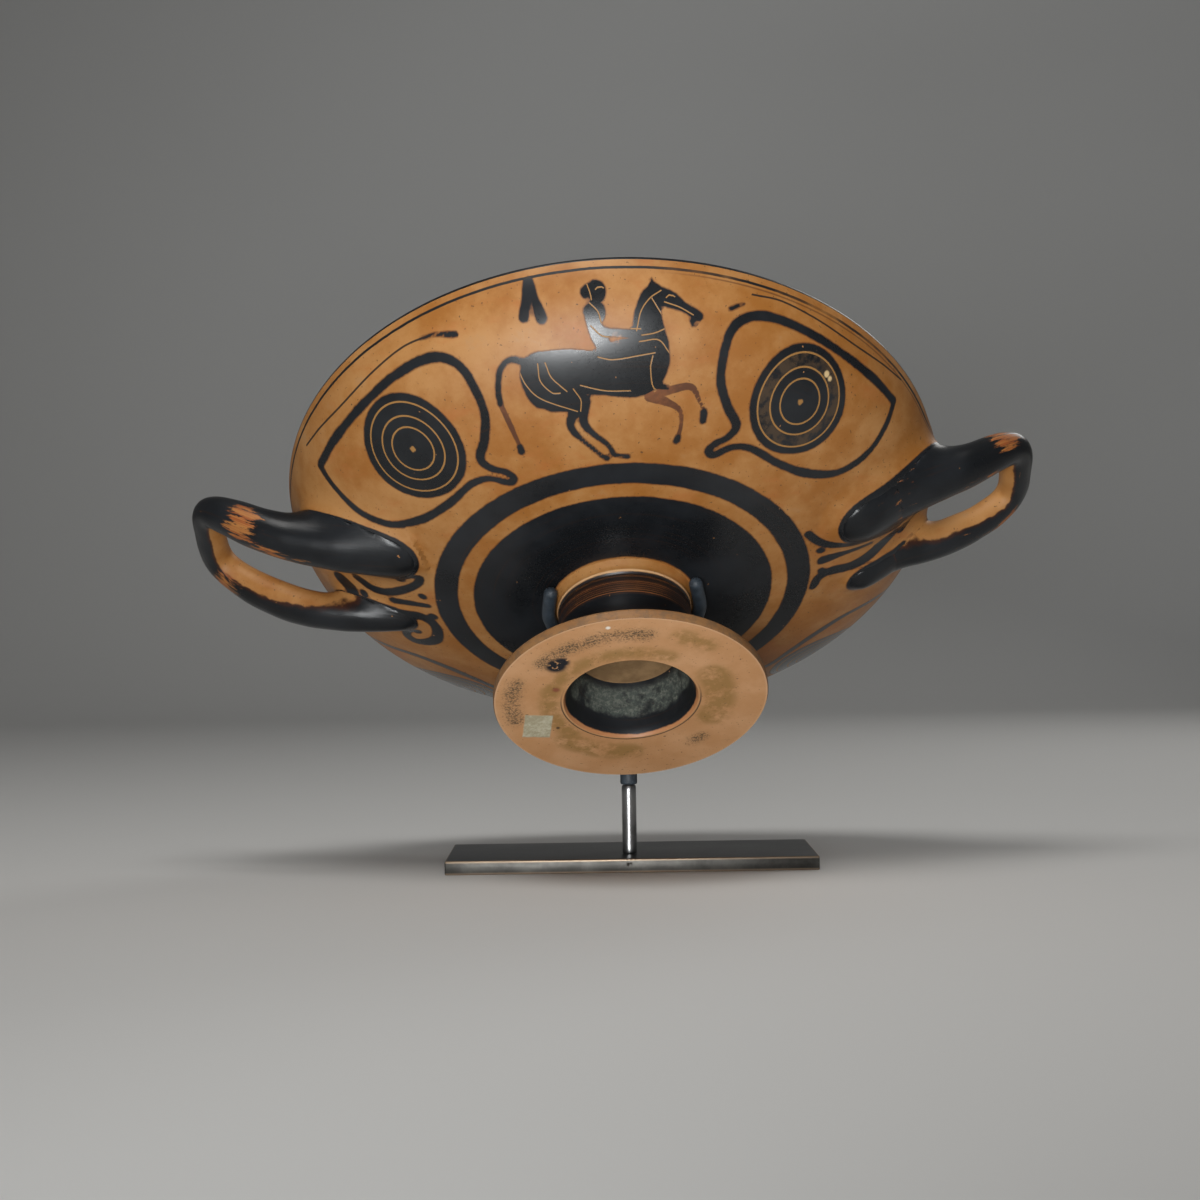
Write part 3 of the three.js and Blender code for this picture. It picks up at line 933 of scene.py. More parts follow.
def paint(flat):
    """The figures as numbers at each point of the unrolled outside."""
    turned = -flat
    eyes = eye_places()
    brow_ends = [place.drawn(BROW_END) for place in eyes]
    brow_ends[FRONT_RIGHT] = DASH
    strokes = [rounded(chain) for chain in (*[place.drawn(EYE) for place in eyes], *brow_ends, *PALMS)]
    strokes += [((x, y, radius), (x + 0.5, y + 0.6, radius)) for x, y, radius in DOTS]
    black = chains_gap(flat, [*strokes, *DROPS])
    for points, parts in ((flat, (HORSE, RIDER)), (turned, (HORSE,))):
        figure = np.full(len(flat), FAR)
        for part in parts:
            for stroke in part.values():
                figure = merged(figure, chain_gap(points, rounded(stroke)), 0.8)
        black = np.minimum(black, figure)
    washes = [rounded(stroke) for stroke in HORSE_THIN.values()]
    fine = line_gaps(flat, [place.drawn(BROW) for place in eyes])
    drawn = {
        "black": black,
        "thin": np.minimum(chains_gap(flat, washes), chains_gap(turned, washes)),
        "fine_near": fine[0],
        "fine_side": fine[1],
        "iris": np.min([np.linalg.norm(flat - place.iris, axis=1) for place in eyes], axis=0),
    }
    front = flat[:, 1] < 0
    for name, horse, rider in (("cut", HORSE_CUTS, RIDER_CUTS), ("nick", HORSE_NICKS, RIDER_NICKS)):
        ahead = line_gaps(flat, horse + rider)
        behind = line_gaps(turned, horse)
        for part, first, second in zip(("near", "side"), ahead, behind):
            drawn[f"{name}_{part}"] = np.where(front, first, second)
    return drawn


# ---- the cup's finishes -------------------------------------------------------------------


def spot(finish, flat, x, y, reach, soft):
    """A round mark at a place laid flat, in millimetres."""
    gap = finish.node(
        "ShaderNodeVectorMath", {"operation": "DISTANCE"}, {0: flat, 1: (x, y, 0.0)}, output="Value"
    )
    return finish.step(gap, reach + soft, reach - soft)


def specks_on(finish, at):
    """Small dark grains scattered over a surface."""
    return finish.step(finish.noise(at, 760.0, 2.0, 0.5), 0.690, 0.715)


def clay_colour(finish, sizes):
    """Fired clay: warm, mottled, with fine specks and rubbed places."""
    at = finish.position()
    cloud = finish.noise(at, 17.0, 4.0, 0.6)
    grain = finish.noise(at, 900.0, 3.0, 0.7)
    smears = finish.noise(finish.stretched(at, (1.0, 0.6, 2.2)), 42.0, 4.0, 0.65)
    patches = finish.noise(at, 62.0, 5.0, 0.68)
    warm = tinted(sizes.clay, (0.84, 0.70, 0.48))
    pale = tinted(sizes.clay, (1.16, 1.26, 1.75))
    shade = finish.mix(finish.step(cloud * 0.55 + patches * 0.45, 0.38, 0.62), warm, pale)
    shade = finish.mix(finish.step(smears, 0.53, 0.74) * 0.55, shade, (0.33, 0.105, 0.022))
    shade = finish.mix(finish.step(patches, 0.60, 0.74) * 0.30, shade, (0.26, 0.17, 0.095))
    shade = finish.mix(specks_on(finish, at) * 0.7, shade, (0.045, 0.022, 0.010))
    shade = finish.mix(finish.step(grain, 0.60, 0.80) * 0.35, shade, (0.20, 0.085, 0.03))
    return shade, cloud, grain


def gloss_colour(finish, sizes, streak):
    """Black slip with brown where the brush left it thin, and small chips down to the clay."""
    at = finish.position()
    patch = finish.noise(at, 26.0, 4.0, 0.62)
    fleck = finish.noise(at, 330.0, 2.0, 0.6)
    shade = finish.mix(finish.step(patch, 0.35, 0.70), tuple(sizes.glaze), tinted(sizes.glaze, 2.2))
    shade = finish.mix(finish.step(streak, 0.56, 0.78) * 0.5, shade, (0.036, 0.015, 0.007))
    return finish.mix(finish.step(fleck, 0.745, 0.770) * 0.75, shade, (0.36, 0.16, 0.055)), patch


def brushed_round(finish, place):
    """Streaks that follow the wheel, quick across and slow along, and the way along the profile."""
    run = finish.part(place, 2)
    slow = finish.stretched(place, (0.012, 0.012, 0.0))
    quick = finish.node("ShaderNodeCombineXYZ", {}, {0: 0.0, 1: 0.0, 2: run * 1.3})
    both = finish.node("ShaderNodeVectorMath", {"operation": "ADD"}, {0: slow, 1: quick})
    return finish.noise(both, 1.0, 5.0, 0.62), run


def cut_lines(finish, name, wave):
    """One set of fine lines scratched through the slip."""
    thin = finish.step(abs(finish.value(name + "_side") + wave * 0.12), 0.33, 0.15)
    return thin * finish.step(finish.value(name + "_near"), 1.5, 1.2)


def cut_circles(finish, iris, wave):
    """The circles cut round the middle of each iris, and the dot in it."""
    drawn = finish.step(iris + wave * 0.6, 1.7, 1.1)
    for radius in IRIS_RINGS:
        drawn = drawn.most(finish.step(abs(iris - radius), 0.46, 0.26))
    return drawn


def worn_iris(finish, flat, iris):
    """Where the slip of one iris is rubbed brown, in the ring between its cut circles."""
    x, y = (float(value) for value in eye_places()[FRONT_RIGHT].iris)
    near = spot(finish, flat, x, y, IRIS, 1.0)
    ring = finish.step(iris, 12.5, 15.0) * finish.step(iris, 20.2, 19.4)
    return near * ring * finish.step(finish.noise(flat, 0.16, 4.0, 0.65), 0.38, 0.56)


def painted_finish(sizes):
    """The bowl's outside: reserved clay with black figures, bands and cut lines."""
    finish = Finish("painted_outside", specular=0.42)
    at = finish.position()
    place = finish.vector("place")
    flat = finish.stretched(place, (1.0, 1.0, 0.0))
    streak, run = brushed_round(finish, place)
    wave = (finish.noise(at, 95.0, 2.0) - 0.5) * 0.9 + (finish.noise(at, 520.0, 2.0) - 0.5) * 0.55
    clay, cloud, grain = clay_colour(finish, sizes)
    gloss, patch = gloss_colour(finish, sizes, streak)
    dilute = tuple(sizes.dilute)

    band_middle = sum(BANDS["band"]) / 2
    band = abs(run - band_middle) - (BANDS["band"][1] - band_middle)
    disc_edge = run - BANDS["disc"][1]
    collar = BANDS["disc"][0] + 1.2 - run
    field = finish.value("black").least(finish.value("iris") - IRIS)
    shapes = field.least(band).least(disc_edge.most(collar)) + wave
    black = finish.step(shapes, 0.14, -0.14)
    iris = finish.value("iris") + wave * 0.12
    cut = cut_lines(finish, "cut", wave).most(cut_lines(finish, "nick", wave))
    scratched = cut.most(cut_circles(finish, iris, wave)) * black

    right = finish.step(finish.part(place, 0), 20.0, 60.0)
    rim_fade = finish.step(finish.noise(at, 30.0, 3.0), 0.40, 0.62)
    rim_line = finish.step(abs(run - BANDS["rim"] + wave * 0.4), 0.75, 0.5)
    rim_brown = finish.step(abs(run - BANDS["rim"] + 1.9 + wave * 0.3), 0.5, 0.2)
    brow = finish.step(abs(finish.value("fine_side") + wave * 0.15), 0.55, 0.3)
    brow = brow * finish.step(finish.value("fine_near"), 1.6, 1.3)
    lines = (rim_line * (1 - rim_fade * right * 0.75)).most(brow * 0.92)

    thin = finish.step(finish.value("thin") + wave * 0.6, 0.25, -0.25)
    washed = finish.mix(finish.step(cloud + wave * 0.5, 0.42, 0.62), dilute, (0.13, 0.040, 0.012))
    shade = finish.mix(finish.step(shapes, 0.85, 0.0) * 0.8, clay, dilute)
    shade = finish.mix(thin * 0.92, shade, washed)
    shade = finish.mix(rim_brown * right * 0.6, shade, dilute)
    gloss = finish.mix(worn_iris(finish, flat, iris) * 0.8, gloss, (0.060, 0.038, 0.022))
    shade = finish.mix(black, shade, gloss)
    shade = finish.mix(lines * (1 - black), shade, tuple(sizes.glaze))
    shade = finish.mix(scratched * 0.9, shade, tinted(sizes.clay, (0.95, 1.05, 1.25)))
    chip = spot(finish, flat, 93.5, -100.5, 1.3, 0.5).most(spot(finish, flat, 94.6, -98.2, 1.0, 0.5))
    shade = finish.mix(chip * 0.85, shade, (0.66, 0.47, 0.24))
    rubbed = spot(finish, flat, 4.5, -133.2, 1.9, 1.2) * finish.step(wave, -0.15, 0.15)
    shade = finish.mix(rubbed * 0.8, shade, (0.42, 0.17, 0.055))
    slip = black * (1 - scratched)
    gloss_roughness = slip * (0.20 - (patch - 0.5) * 0.25)
    finish.set(Base_Color=shade, Roughness=0.50 + (grain - 0.5) * 0.15 - gloss_roughness)
    relief = grain * 0.12 + cloud * 0.2 + slip * 0.10 + streak * 0.12 - scratched * 0.35
    finish.bump(relief, 0.00022, 0.4)
    return finish


def stem_finish(sizes):
    """The stem, the foot's top and its edge, banded on the wheel, with painted shade in the groove and a
    painted highlight on the arris above it.
    """
    finish = Finish("stem_and_foot", specular=0.30)
    streak, _ = brushed_round(finish, finish.vector("place"))
    at = finish.position()
    height = finish.value("height")
    clay, cloud, grain = clay_colour(finish, sizes)
    gloss, _ = gloss_colour(finish, sizes, streak)
    dirt = finish.step(finish.noise(at, 210.0, 5.0, 0.7), 0.46, 0.64)
    level = height + (finish.noise(at, 120.0, 3.0) - 0.5) * 0.25
    edge = finish.step(level, FOOT_EDGE + 0.3, FOOT_EDGE - 0.1)
    collar = finish.step(level, GROOVE + 0.5, GROOVE + 1.0)
    clay = finish.mix(edge * (0.60 + dirt * 0.35), clay, (0.150, 0.084, 0.042))
    thin_zone = finish.step(level, 33.5, 35.5) * finish.step(height, GROOVE + 0.2, GROOVE - 0.3)
    wheel = finish.noise(finish.node("ShaderNodeCombineXYZ", {}, {2: height}), 1.9, 3.0, 0.8)
    wheel = wheel + (finish.noise(at, 28.0, 3.0) - 0.5) * 0.20
    lines = finish.step(wheel, 0.515, 0.60)
    brown = finish.mix(finish.step(streak, 0.45, 0.75), (0.012, 0.009, 0.008), (0.055, 0.018, 0.008))
    banded = finish.mix(lines * 0.85, brown, (0.34, 0.125, 0.038))
    shade = finish.mix(thin_zone, gloss, banded)
    # painted shade: a dark line in the groove under the collar
    groove_shade = finish.step(abs(height - GROOVE + 0.1), 0.75, 0.35)
    shade = finish.mix(groove_shade * 0.85, shade, (0.016, 0.010, 0.009))
    # painted highlight: a bright line along the collar's arris, above the groove
    arris_highlight = finish.step(abs(height - GROOVE - 1.3), 0.7, 0.2) * 0.55
    clay_with_highlight = finish.mix(arris_highlight, clay, (0.78, 0.50, 0.28))
    reserved = edge.most(collar)
    shade = finish.mix(reserved, shade, clay_with_highlight)
    finish.set(Base_Color=shade, Roughness=0.33 + reserved * 0.2 + (grain - 0.5) * 0.12)
    finish.bump(grain * 0.15 + cloud * 0.2 + streak * 0.15 + dirt * edge * 0.3, 0.00022, 0.6)
    return finish


# small marks under the foot: place, radius, softness, strength and colour
UNDER_SPOTS = (
    (-30.5, -10.6, 1.5, 0.8, 0.75, (0.20, 0.045, 0.03)),
    (-31.2, 17.2, 0.8, 0.4, 0.9, (0.05, 0.03, 0.02)),
    (-7.6, -51.1, 0.9, 0.5, 0.9, (0.78, 0.74, 0.66)),
)
SQUARE_PLACE = (-39.6, 15.0)
SQUARE_TURN = math.radians(-8)


def blank_square(finish, flat, ragged):
    """A blank pale patch under the foot, about square and a little askew."""
    x, y = SQUARE_PLACE
    askew = finish.node(
        "ShaderNodeVectorRotate",
        {"rotation_type": "Z_AXIS"},
        {"Vector": flat, "Center": (x, y, 0.0), "Angle": SQUARE_TURN},
    )
    across, up = finish.part(askew, 0) - x, finish.part(askew, 1) - y
    return finish.step(abs(across).most(abs(up) * 0.72) + ragged * 0.09, 6.1, 5.5)


def underside_finish(sizes):
    """The foot's resting face: pale bare clay with soil, stains and old marks, and a painted highlight round
    its outer edge.
    """
    finish = Finish("foot_underside", specular=0.3)
    at = finish.position()
    flat = finish.stretched(finish.vector("place"), (1.0, 1.0, 0.0))
    reach = finish.node("ShaderNodeVectorMath", {"operation": "LENGTH"}, {0: flat}, output="Value")
    cloud = finish.noise(at, 48.0, 4.0, 0.6)
    grain = finish.noise(at, 1000.0, 3.0, 0.7)
    soil = finish.noise(at, 560.0, 4.0, 0.72)
    ragged = (finish.noise(at, 210.0, 4.0, 0.7) - 0.5) * 9.0
    deep = tinted(sizes.clay_pale, (0.86, 0.80, 0.70))
    shade = finish.mix(finish.step(cloud, 0.35, 0.70), deep, tuple(sizes.clay_pale))
    smudge = finish.step(finish.noise(at, 130.0, 5.0, 0.72), 0.33, 0.56)
    stain = finish.value("stain") * smudge
    shade = finish.mix(stain * 0.85, shade, (0.27, 0.150, 0.047))
    shade = finish.mix(finish.step(soil, 0.60, 0.70) * 0.35, shade, (0.22, 0.13, 0.065))
    fine = finish.noise(at, 1150.0, 3.0, 0.75)
    arc = finish.value("soil")
    crumbs = finish.step(fine + arc * 0.09, 0.565, 0.615)
    shade = finish.mix(arc * smudge * 0.4, shade, (0.26, 0.155, 0.07))
    shade = finish.mix(arc * crumbs * (0.35 + smudge * 0.6), shade, (0.085, 0.055, 0.032))
    shade = finish.mix(specks_on(finish, at) * 0.7, shade, (0.10, 0.06, 0.03))
    inked = finish.step(finish.noise(at, 480.0, 3.0, 0.6), 0.40, 0.44)
    blot = spot(finish, flat, -29.6, -27.4, 4.3, 1.4).most(spot(finish, flat, -27.2, -29.6, 3.2, 1.2))
    blot = blot * inked
    shade = finish.mix(blot, shade, (0.012, 0.013, 0.017))
    for x, y, size, soft, amount, colour in UNDER_SPOTS:
        shade = finish.mix(spot(finish, flat, x, y, size, soft) * amount, shade, colour)
    square = blank_square(finish, flat, ragged)
    faded = finish.step(cloud + (soil - 0.5) * 0.6, 0.40, 0.62)
    paper = finish.mix(faded, (0.50, 0.48, 0.36), (0.33, 0.31, 0.21))
    shade = finish.mix(square * 0.90, shade, paper)
    # painted highlight: a lighter ring along the foot's rounded outer edge
    arris_highlight = finish.step(reach, 55.6, 56.4)
    shade = finish.mix(arris_highlight * 0.4, shade, (0.62, 0.40, 0.25))
    lip = finish.step(abs(reach - 29.0 + ragged * 0.03), 0.45, 0.15)
    lip = lip * finish.step(finish.part(flat, 1) + ragged, -12.0, 6.0)
    shade = finish.mix(lip * 0.85, shade, (0.03, 0.02, 0.015))
    finish.set(Base_Color=shade, Roughness=0.66 + (grain - 0.5) * 0.2 - blot * 0.25)
    finish.bump(grain * 0.25 + soil * 0.2 + arc * crumbs * 0.4 + square * 0.5 + blot * 0.2, 0.00028, 0.6)
    return finish


def hollow_finish(sizes):
    """Inside the foot: slipped wall with a grey-green deposit under a bare ceiling."""
    finish = Finish("foot_hollow", specular=0.35)
    at = finish.position()
    height = finish.value("height")
    streak, _ = brushed_round(finish, finish.vector("place"))
    cloud = finish.noise(at, 85.0, 5.0, 0.7)
    grain = finish.noise(at, 700.0, 3.0, 0.7)
    gloss, _ = gloss_colour(finish, sizes, streak)
    level = height + (cloud - 0.5) * 9.0
    crust = finish.step(level, 8.0, 11.0) * finish.step(level, 23.5, 19.0)
    crust = crust * finish.step(cloud, 0.34, 0.58)
    deposit = finish.mix(finish.step(grain, 0.4, 0.7), (0.075, 0.088, 0.075), (0.17, 0.18, 0.145))
    shade = finish.mix(crust * 0.72, gloss, deposit)
    ceiling = finish.step(height, 23.6, 23.9)
    clay = finish.mix(finish.step(cloud, 0.35, 0.65), (0.17, 0.100, 0.045), (0.25, 0.152, 0.072))
    shade = finish.mix(ceiling, shade, clay)
    lip = finish.step(height + (cloud - 0.5) * 1.6, 1.5, 0.9)
    shade = finish.mix(lip * 0.85, shade, (0.50, 0.215, 0.085))
    finish.set(Base_Color=shade, Roughness=0.42 + crust * 0.35 + ceiling * 0.25)
    finish.bump(grain * 0.2 + cloud * 0.3 + crust * 0.5 + streak * 0.15, 0.00028, 0.6)
    return finish


def inside_finish(sizes):
    """The bowl's inside: black, with a small bare roundel of circles and a stacking ring."""
    finish = Finish("glossy_inside", specular=0.35)
    at = finish.position()
    streak, run = brushed_round(finish, finish.vector("place"))
    clay, cloud, grain = clay_colour(finish, sizes)
    gloss, patch = gloss_colour(finish, sizes, streak)
    wave = (finish.noise(at, 110.0, 3.0) - 0.5) * 0.6
    reach = run + wave
    roundel = finish.step(reach, 17.2, 16.9)
    ring = finish.step(abs(reach - 13.5), 1.0, 0.7).most(finish.step(abs(reach - 9.0), 0.8, 0.5))
    dot = finish.step(reach, 3.0, 2.6)
    lip = finish.step(reach, LIP_BARE, LIP_BARE + 0.8)
    bare = (roundel * (1 - ring.most(dot))).most(lip)
    shade = finish.mix(bare, gloss, clay)
    stacking_ring = finish.step(abs(run - 62.0), 3.5, 1.0) * 0.5
    shade = finish.mix(stacking_ring * (1 - bare), shade, (0.075, 0.020, 0.008))
    finish.set(Base_Color=shade, Roughness=0.32 + bare * 0.18 + (patch - 0.5) * 0.15)
    finish.bump(grain * 0.1 + cloud * 0.2 + streak * 0.2, 0.00022, 0.55)
    return finish


def handle_finish(sizes):
    """The handles: black outside, bare towards the opening, rubbed where they were held."""
    finish = Finish("handle_slip", specular=0.32)
    at = finish.position()
    along = finish.vector("place")
    inward = finish.value("inward")
    clay, _, grain = clay_colour(finish, sizes)
    streak = finish.noise(finish.stretched(along, (0.035, 0.9, 0.9)), 1.0, 4.0, 0.65)
    gloss, patch = gloss_colour(finish, sizes, streak)
    wave = (finish.noise(at, 70.0, 3.0) - 0.5) * 0.5 + (finish.noise(at, 300.0, 2.0) - 0.5) * 0.25
    bare = finish.step(inward + wave, 0.30, 0.42)
    edge = finish.step(inward + wave, 0.12, 0.36)
    scuff = finish.noise(finish.stretched(along, (0.10, 0.55, 0.55)), 1.0, 5.0, 0.72)
    worn = finish.step(scuff + (finish.value("rubbed") - 0.5) * 0.55, 0.62, 0.72)
    shade = finish.mix(edge * 0.7, gloss, tuple(sizes.dilute))
    red = finish.mix(finish.step(streak, 0.35, 0.65), (0.27, 0.070, 0.016), (0.40, 0.165, 0.042))
    shade = finish.mix(worn * 0.88, shade, red)
    shade = finish.mix(bare, shade, clay)
    matt = bare.most(worn)
    finish.set(Base_Color=shade, Roughness=0.32 + matt * 0.2 + (patch - 0.5) * 0.25)
    finish.bump(grain * 0.15 + scuff * 0.35 + streak * 0.2 - matt * 0.15, 0.0003, 0.7)
    return finish


# ---- the cup's skin -----------------------------------------------------------------------

PAINTED, BANDED, RESTING, HOLLOW, GLOSSY, HELD = range(6)

# places on the bake's map: discs by their middle and radius, strips by two corners
OUTSIDE_MAP = ((0.338, 0.338), 0.328)
INSIDE_MAP = ((0.835, 0.835), 0.155)
UNDER_MAP = ((0.835, 0.165), 0.15)
HOLLOW_MAP = ((0.835, 0.165), 0.072)
STEM_MAP = ((0.68, 0.345), (0.99, 0.50))
LIP_MAP = ((0.01, 0.672), (0.66, 0.692))
HANDLE_MAPS = (((0.01, 0.705), (0.65, 0.795)), ((0.01, 0.805), (0.65, 0.895)))

LIP_RUN = 6.0
HANDLE_NEAR = 80.0
ROOT_DEPTH = 5.0
SLIP_MARGIN = 2.2
FRONT_SLIP_MARGIN = 1.6


def unrolled(run, columns):
    """Rings laid flat by their way along the profile, with that way itself as a third value."""
    deep = np.repeat(run[:, None], columns, axis=1)[..., None]
    return np.concatenate([around(run, round_turns(columns)), deep], -1).reshape(-1, 3)


def turned_grid(shape, profile, columns):
    """A profile turned round the cup's axis, sagged as the lip is."""
    heights = np.repeat(profile[:, 1:], columns, axis=1)[..., None]
    return shape.sagged(np.concatenate([around(profile[:, 0], round_turns(columns)), heights], -1))


def joined_rings(shell, coarse, fine, finish, spots, order):
    """Faces between a ring and one of twice its points, each with its first point repeated."""
    for i in range(len(coarse) - 1):
        a, b = coarse[i], coarse[i + 1]
        c, d, e = fine[2 * i : 2 * i + 3]
        low, high = spots[i], spots[i + 1]
        middle = (low + high) / 2
        faces = np.array([[a, d, c], [a, b, d], [b, e, d]])
        corners = np.array([[low, middle, low], [low, high, middle], [high, high, middle]])
        shell.add_faces(faces[:, ::order], finish, corners[:, ::order])


def facing(points, way, middle):
    """How far a surface faces a handle's opening: 1 straight towards its middle."""
    inward = middle - points
    return (way * inward).sum(axis=1) / np.linalg.norm(inward, axis=1)


def arm_front(number, rows):
    """1 along a handle's front arm, 0 along its back one."""
    share = np.linspace(0.0, 1.0, rows)
    return smoothstep(share if number else 1 - share, 0.35, 0.65)


def root_cover(row, rows):
    """More than 0 near a handle's ends, where the slip goes all the way round."""
    from_end = np.minimum(row, rows - 1 - row) / (rows - 1)
    return 0.9 * (1 - smoothstep(from_end, 0.03, 0.10))


def rubbed_amount(number, share, away):
    """How much the slip is worn along a handle, from the places in RUBBED."""
    front = 1 - share if number else share
    amount = np.zeros(len(share))
    for middle, reach, strength, side in RUBBED[number]:
        faces = smoothstep(away @ np.array(side), 0.25, 0.75) if any(side) else 1.0
        amount = np.maximum(amount, strength * faces * np.exp(-(((front - middle) / reach) ** 2)))
    return amount


def arc_amount(flat, arcs):
    """How near points of the foot's underside are to some arcs: 1 on them and 0 away."""
    chains = []
    for reach, start, end, wide in arcs:
        turns = np.radians(np.linspace(start, end, 9))
        chains.append([(reach * math.cos(turn), reach * math.sin(turn), wide) for turn in turns])
    return np.exp(-((np.maximum(chains_gap(flat, chains), 0) / 2.5) ** 2))


class KYLIX_OT_make_cup(bpy.types.Operator):
    """Make the cup: hollow foot, stem, bowl, lip and both handles as one skin"""

    bl_idname = "kylix.make_cup"
    bl_label = "Make cup"

    def execute(self, context):
        sizes = context.scene.kylix_cup
        shape = CupShape(sizes)
        shell = Shell()
        self.lay_body(shell, shape)
        self.note_soil(shell)
        figures = paint(shell.marks["place"][1]["outside"][:, :2])
        root_slip = self.lay_handles(shell, shape)
        figures["black"] = np.minimum(figures["black"], root_slip)
        for kind, values in figures.items():
            shell.note(kind, "outside", np.clip(values, -UNPAINTED, UNPAINTED), UNPAINTED)
        shell.points = {name: shape.placed(points) for name, points in shell.points.items()}
        makers = (
            painted_finish, stem_finish, underside_finish, hollow_finish, inside_finish, handle_finish
        )
        mesh = shell.mesh("kylix_cup_skin", [make(sizes) for make in makers])
        place_piece(mesh, "kylix_cup")
        return {"FINISHED"}

    def lay_body(self, shell, shape):
        """Everything turned on the wheel, from the hollow foot round the lip to the floor."""
        full = np.linspace(0.0, 2 * math.pi, COLUMNS + 1)
        half = full[::2]
        hollow, under, stem = shape.hollow_walls(), shape.underside(), shape.foot_and_stem()
        outside, lip, inside = shape.outside(), shape.lip(), shape.inside()
        hollow_run = run_along(hollow, PINHOLE)
        out_run = run_along(outside, JUNCTION[0])
        in_run = run_along(inside[::-1], PINHOLE)[::-1]
        lip_run = in_run[0] + np.linspace(LIP_RUN, 0.0, len(lip))
        surfaces = (
            ("hollow", hollow, hollow_run, HOLLOW, disc(hollow_run, half, *HOLLOW_MAP)),
            ("under", under, run_along(under, shape.hollow), RESTING, disc(under[:, 0], half, *UNDER_MAP)),
            ("stem", stem, run_along(stem), BANDED, strip(len(stem), len(half), *STEM_MAP)),
            ("outside", outside, out_run, PAINTED, disc(out_run, full, *OUTSIDE_MAP)),
            ("lip", lip, lip_run, GLOSSY, strip(len(lip), len(full), *LIP_MAP)),
            ("inside", inside, in_run, GLOSSY, disc(in_run, half, *INSIDE_MAP)),
        )
        rows = {}
        maps = {}
        for name, profile, run, finish, spots in surfaces:
            columns = spots.shape[1] - 1
            rows[name] = shell.add_grid(name, turned_grid(shape, profile, columns), finish, spots)
            maps[name] = spots
            shell.note("place", name, unrolled(run, columns))
            shell.note("height", name, np.repeat(profile[:, 1], columns))
        self.close_seams(shell, rows, maps)

    @staticmethod
    def close_seams(shell, rows, maps):
        """Join the stem to the finer bowl, the bowl to the lip, the lip to the inside, and cap both ends."""
        joined_rings(shell, rows["stem"][-1], rows["outside"][0], BANDED, maps["stem"][-1], 1)
        low, high, edge = rows["outside"][-1], rows["lip"][0], maps["lip"][0]
        shell.add_faces(
            np.stack([low[:-1], low[1:], high[1:], high[:-1]], -1),
            GLOSSY,
            np.stack([edge[:-1], edge[1:], edge[1:], edge[:-1]], 1),
        )
        joined_rings(shell, rows["inside"][0], rows["lip"][-1], GLOSSY, maps["lip"][-1][::2], -1)
        ceiling, floor = rows["hollow"][0][:-1], rows["inside"][-1][:-1]
        shell.add_faces([ceiling[::-1]], HOLLOW, [[HOLLOW_MAP[0]] * len(ceiling)])
        shell.add_faces([floor], GLOSSY, [[INSIDE_MAP[0]] * len(floor)])

    @staticmethod
    def note_soil(shell):
        """Note the soil and the stains under the foot."""
        flat = shell.marks["place"][1]["under"][:, :2]
        for kind, arcs in (("soil", SOIL), ("stain", STAIN)):
            shell.note(kind, "under", arc_amount(flat, arcs))

    def lay_handles(self, shell, shape):
        """Both handles, the bowl smoothed up to their roots. Gives the edge of the roots' slip."""
        profile = shape.outside()
        bowl = shell.points["outside"]
        root_slip = np.full(len(bowl), UNPAINTED)
        for number, handle in enumerate(HANDLES):
            line, radii, middle = shape.handle_line(handle)
            front = arm_front(number, len(line))
            blends = shape.blend * (BACK_BLEND + (1 - BACK_BLEND) * front)
            near = np.nonzero(np.linalg.norm(bowl - middle, axis=1) < HANDLE_NEAR)[0]
            start = bowl[near]
            gap, way, row = tube_gap(start, line, radii)
            inward = facing(start, way, middle) - root_cover(row, len(line))
            margin = SLIP_MARGIN + FRONT_SLIP_MARGIN * front[row]
            edge = np.maximum(gap - margin, (inward - ROOT_BARE) * 10)
            root_slip[near] = np.minimum(root_slip[near], edge)
            share = smoothstep(gap, -ROOT_DEPTH, 0.0) * (gap < shape.blend)
            moved = blended(start, profile, line, radii, blends)
            bowl[near] = start + share[:, None] * (moved - start)
            self.lay_handle(shell, shape, number, (line, radii, middle, blends))
        return root_slip

    @staticmethod
    def lay_handle(shell, shape, number, handle):
        """One rolled handle, its roots smoothed into the bowl and kept out of its inside."""
        line, radii, middle, blends = handle
        profile = shape.outside()
        name = f"handle_{number}"
        long_line, long_radii = domed(line, radii)
        grid, away = (part.reshape(-1, 3) for part in tube(long_line, long_radii, HANDLE_SIDES))
        row = tube_gap(grid, line, radii)[2]
        shell.note("inward", name, facing(grid, away, middle) - root_cover(row, len(line)))

        gap = bowl_gap(grid, profile)[0]
        uneven = 0.30 * lumps(grid, 38.0, 11 + number) + 0.12 * lumps(grid, 12.0, 5)
        uneven *= smoothstep(gap, shape.blend * 0.4, shape.blend)
        moved = blended(grid, profile, line, radii, blends)
        share = smoothstep(gap, -ROOT_DEPTH, 0.0)[:, None]
        skin = grid + share * (moved - grid) + away * uneven[:, None]
        deep = bowl_gap(skin, profile)[0] < -SUNK
        skin[deep] = sunk(skin[deep], profile, shape, SUNK)
        shell.note("height", name, skin[:, 2])

        count = len(long_line)
        spots = long_strip(count, HANDLE_SIDES + 1, *HANDLE_MAPS[number])
        rows = shell.add_grid(name, skin.reshape(count, HANDLE_SIDES, 3), HELD, spots)
        shell.close_ends(rows, HELD, HANDLE_MAPS[number][0])
        run = run_along(long_line)
        ring = around(np.array([HANDLE_ROUND]), round_turns(HANDLE_SIDES))[0]
        ring += (HANDLE_APART * number, 0.0)
        along = np.repeat(run, HANDLE_SIDES)[:, None]
        shell.note("place", name, np.hstack([along, np.tile(ring, (count, 1))]))
        share = np.repeat(run / run[-1], HANDLE_SIDES)
        shell.note("rubbed", name, rubbed_amount(number, share, away))


# ---- the stand ----------------------------------------------------------------------------


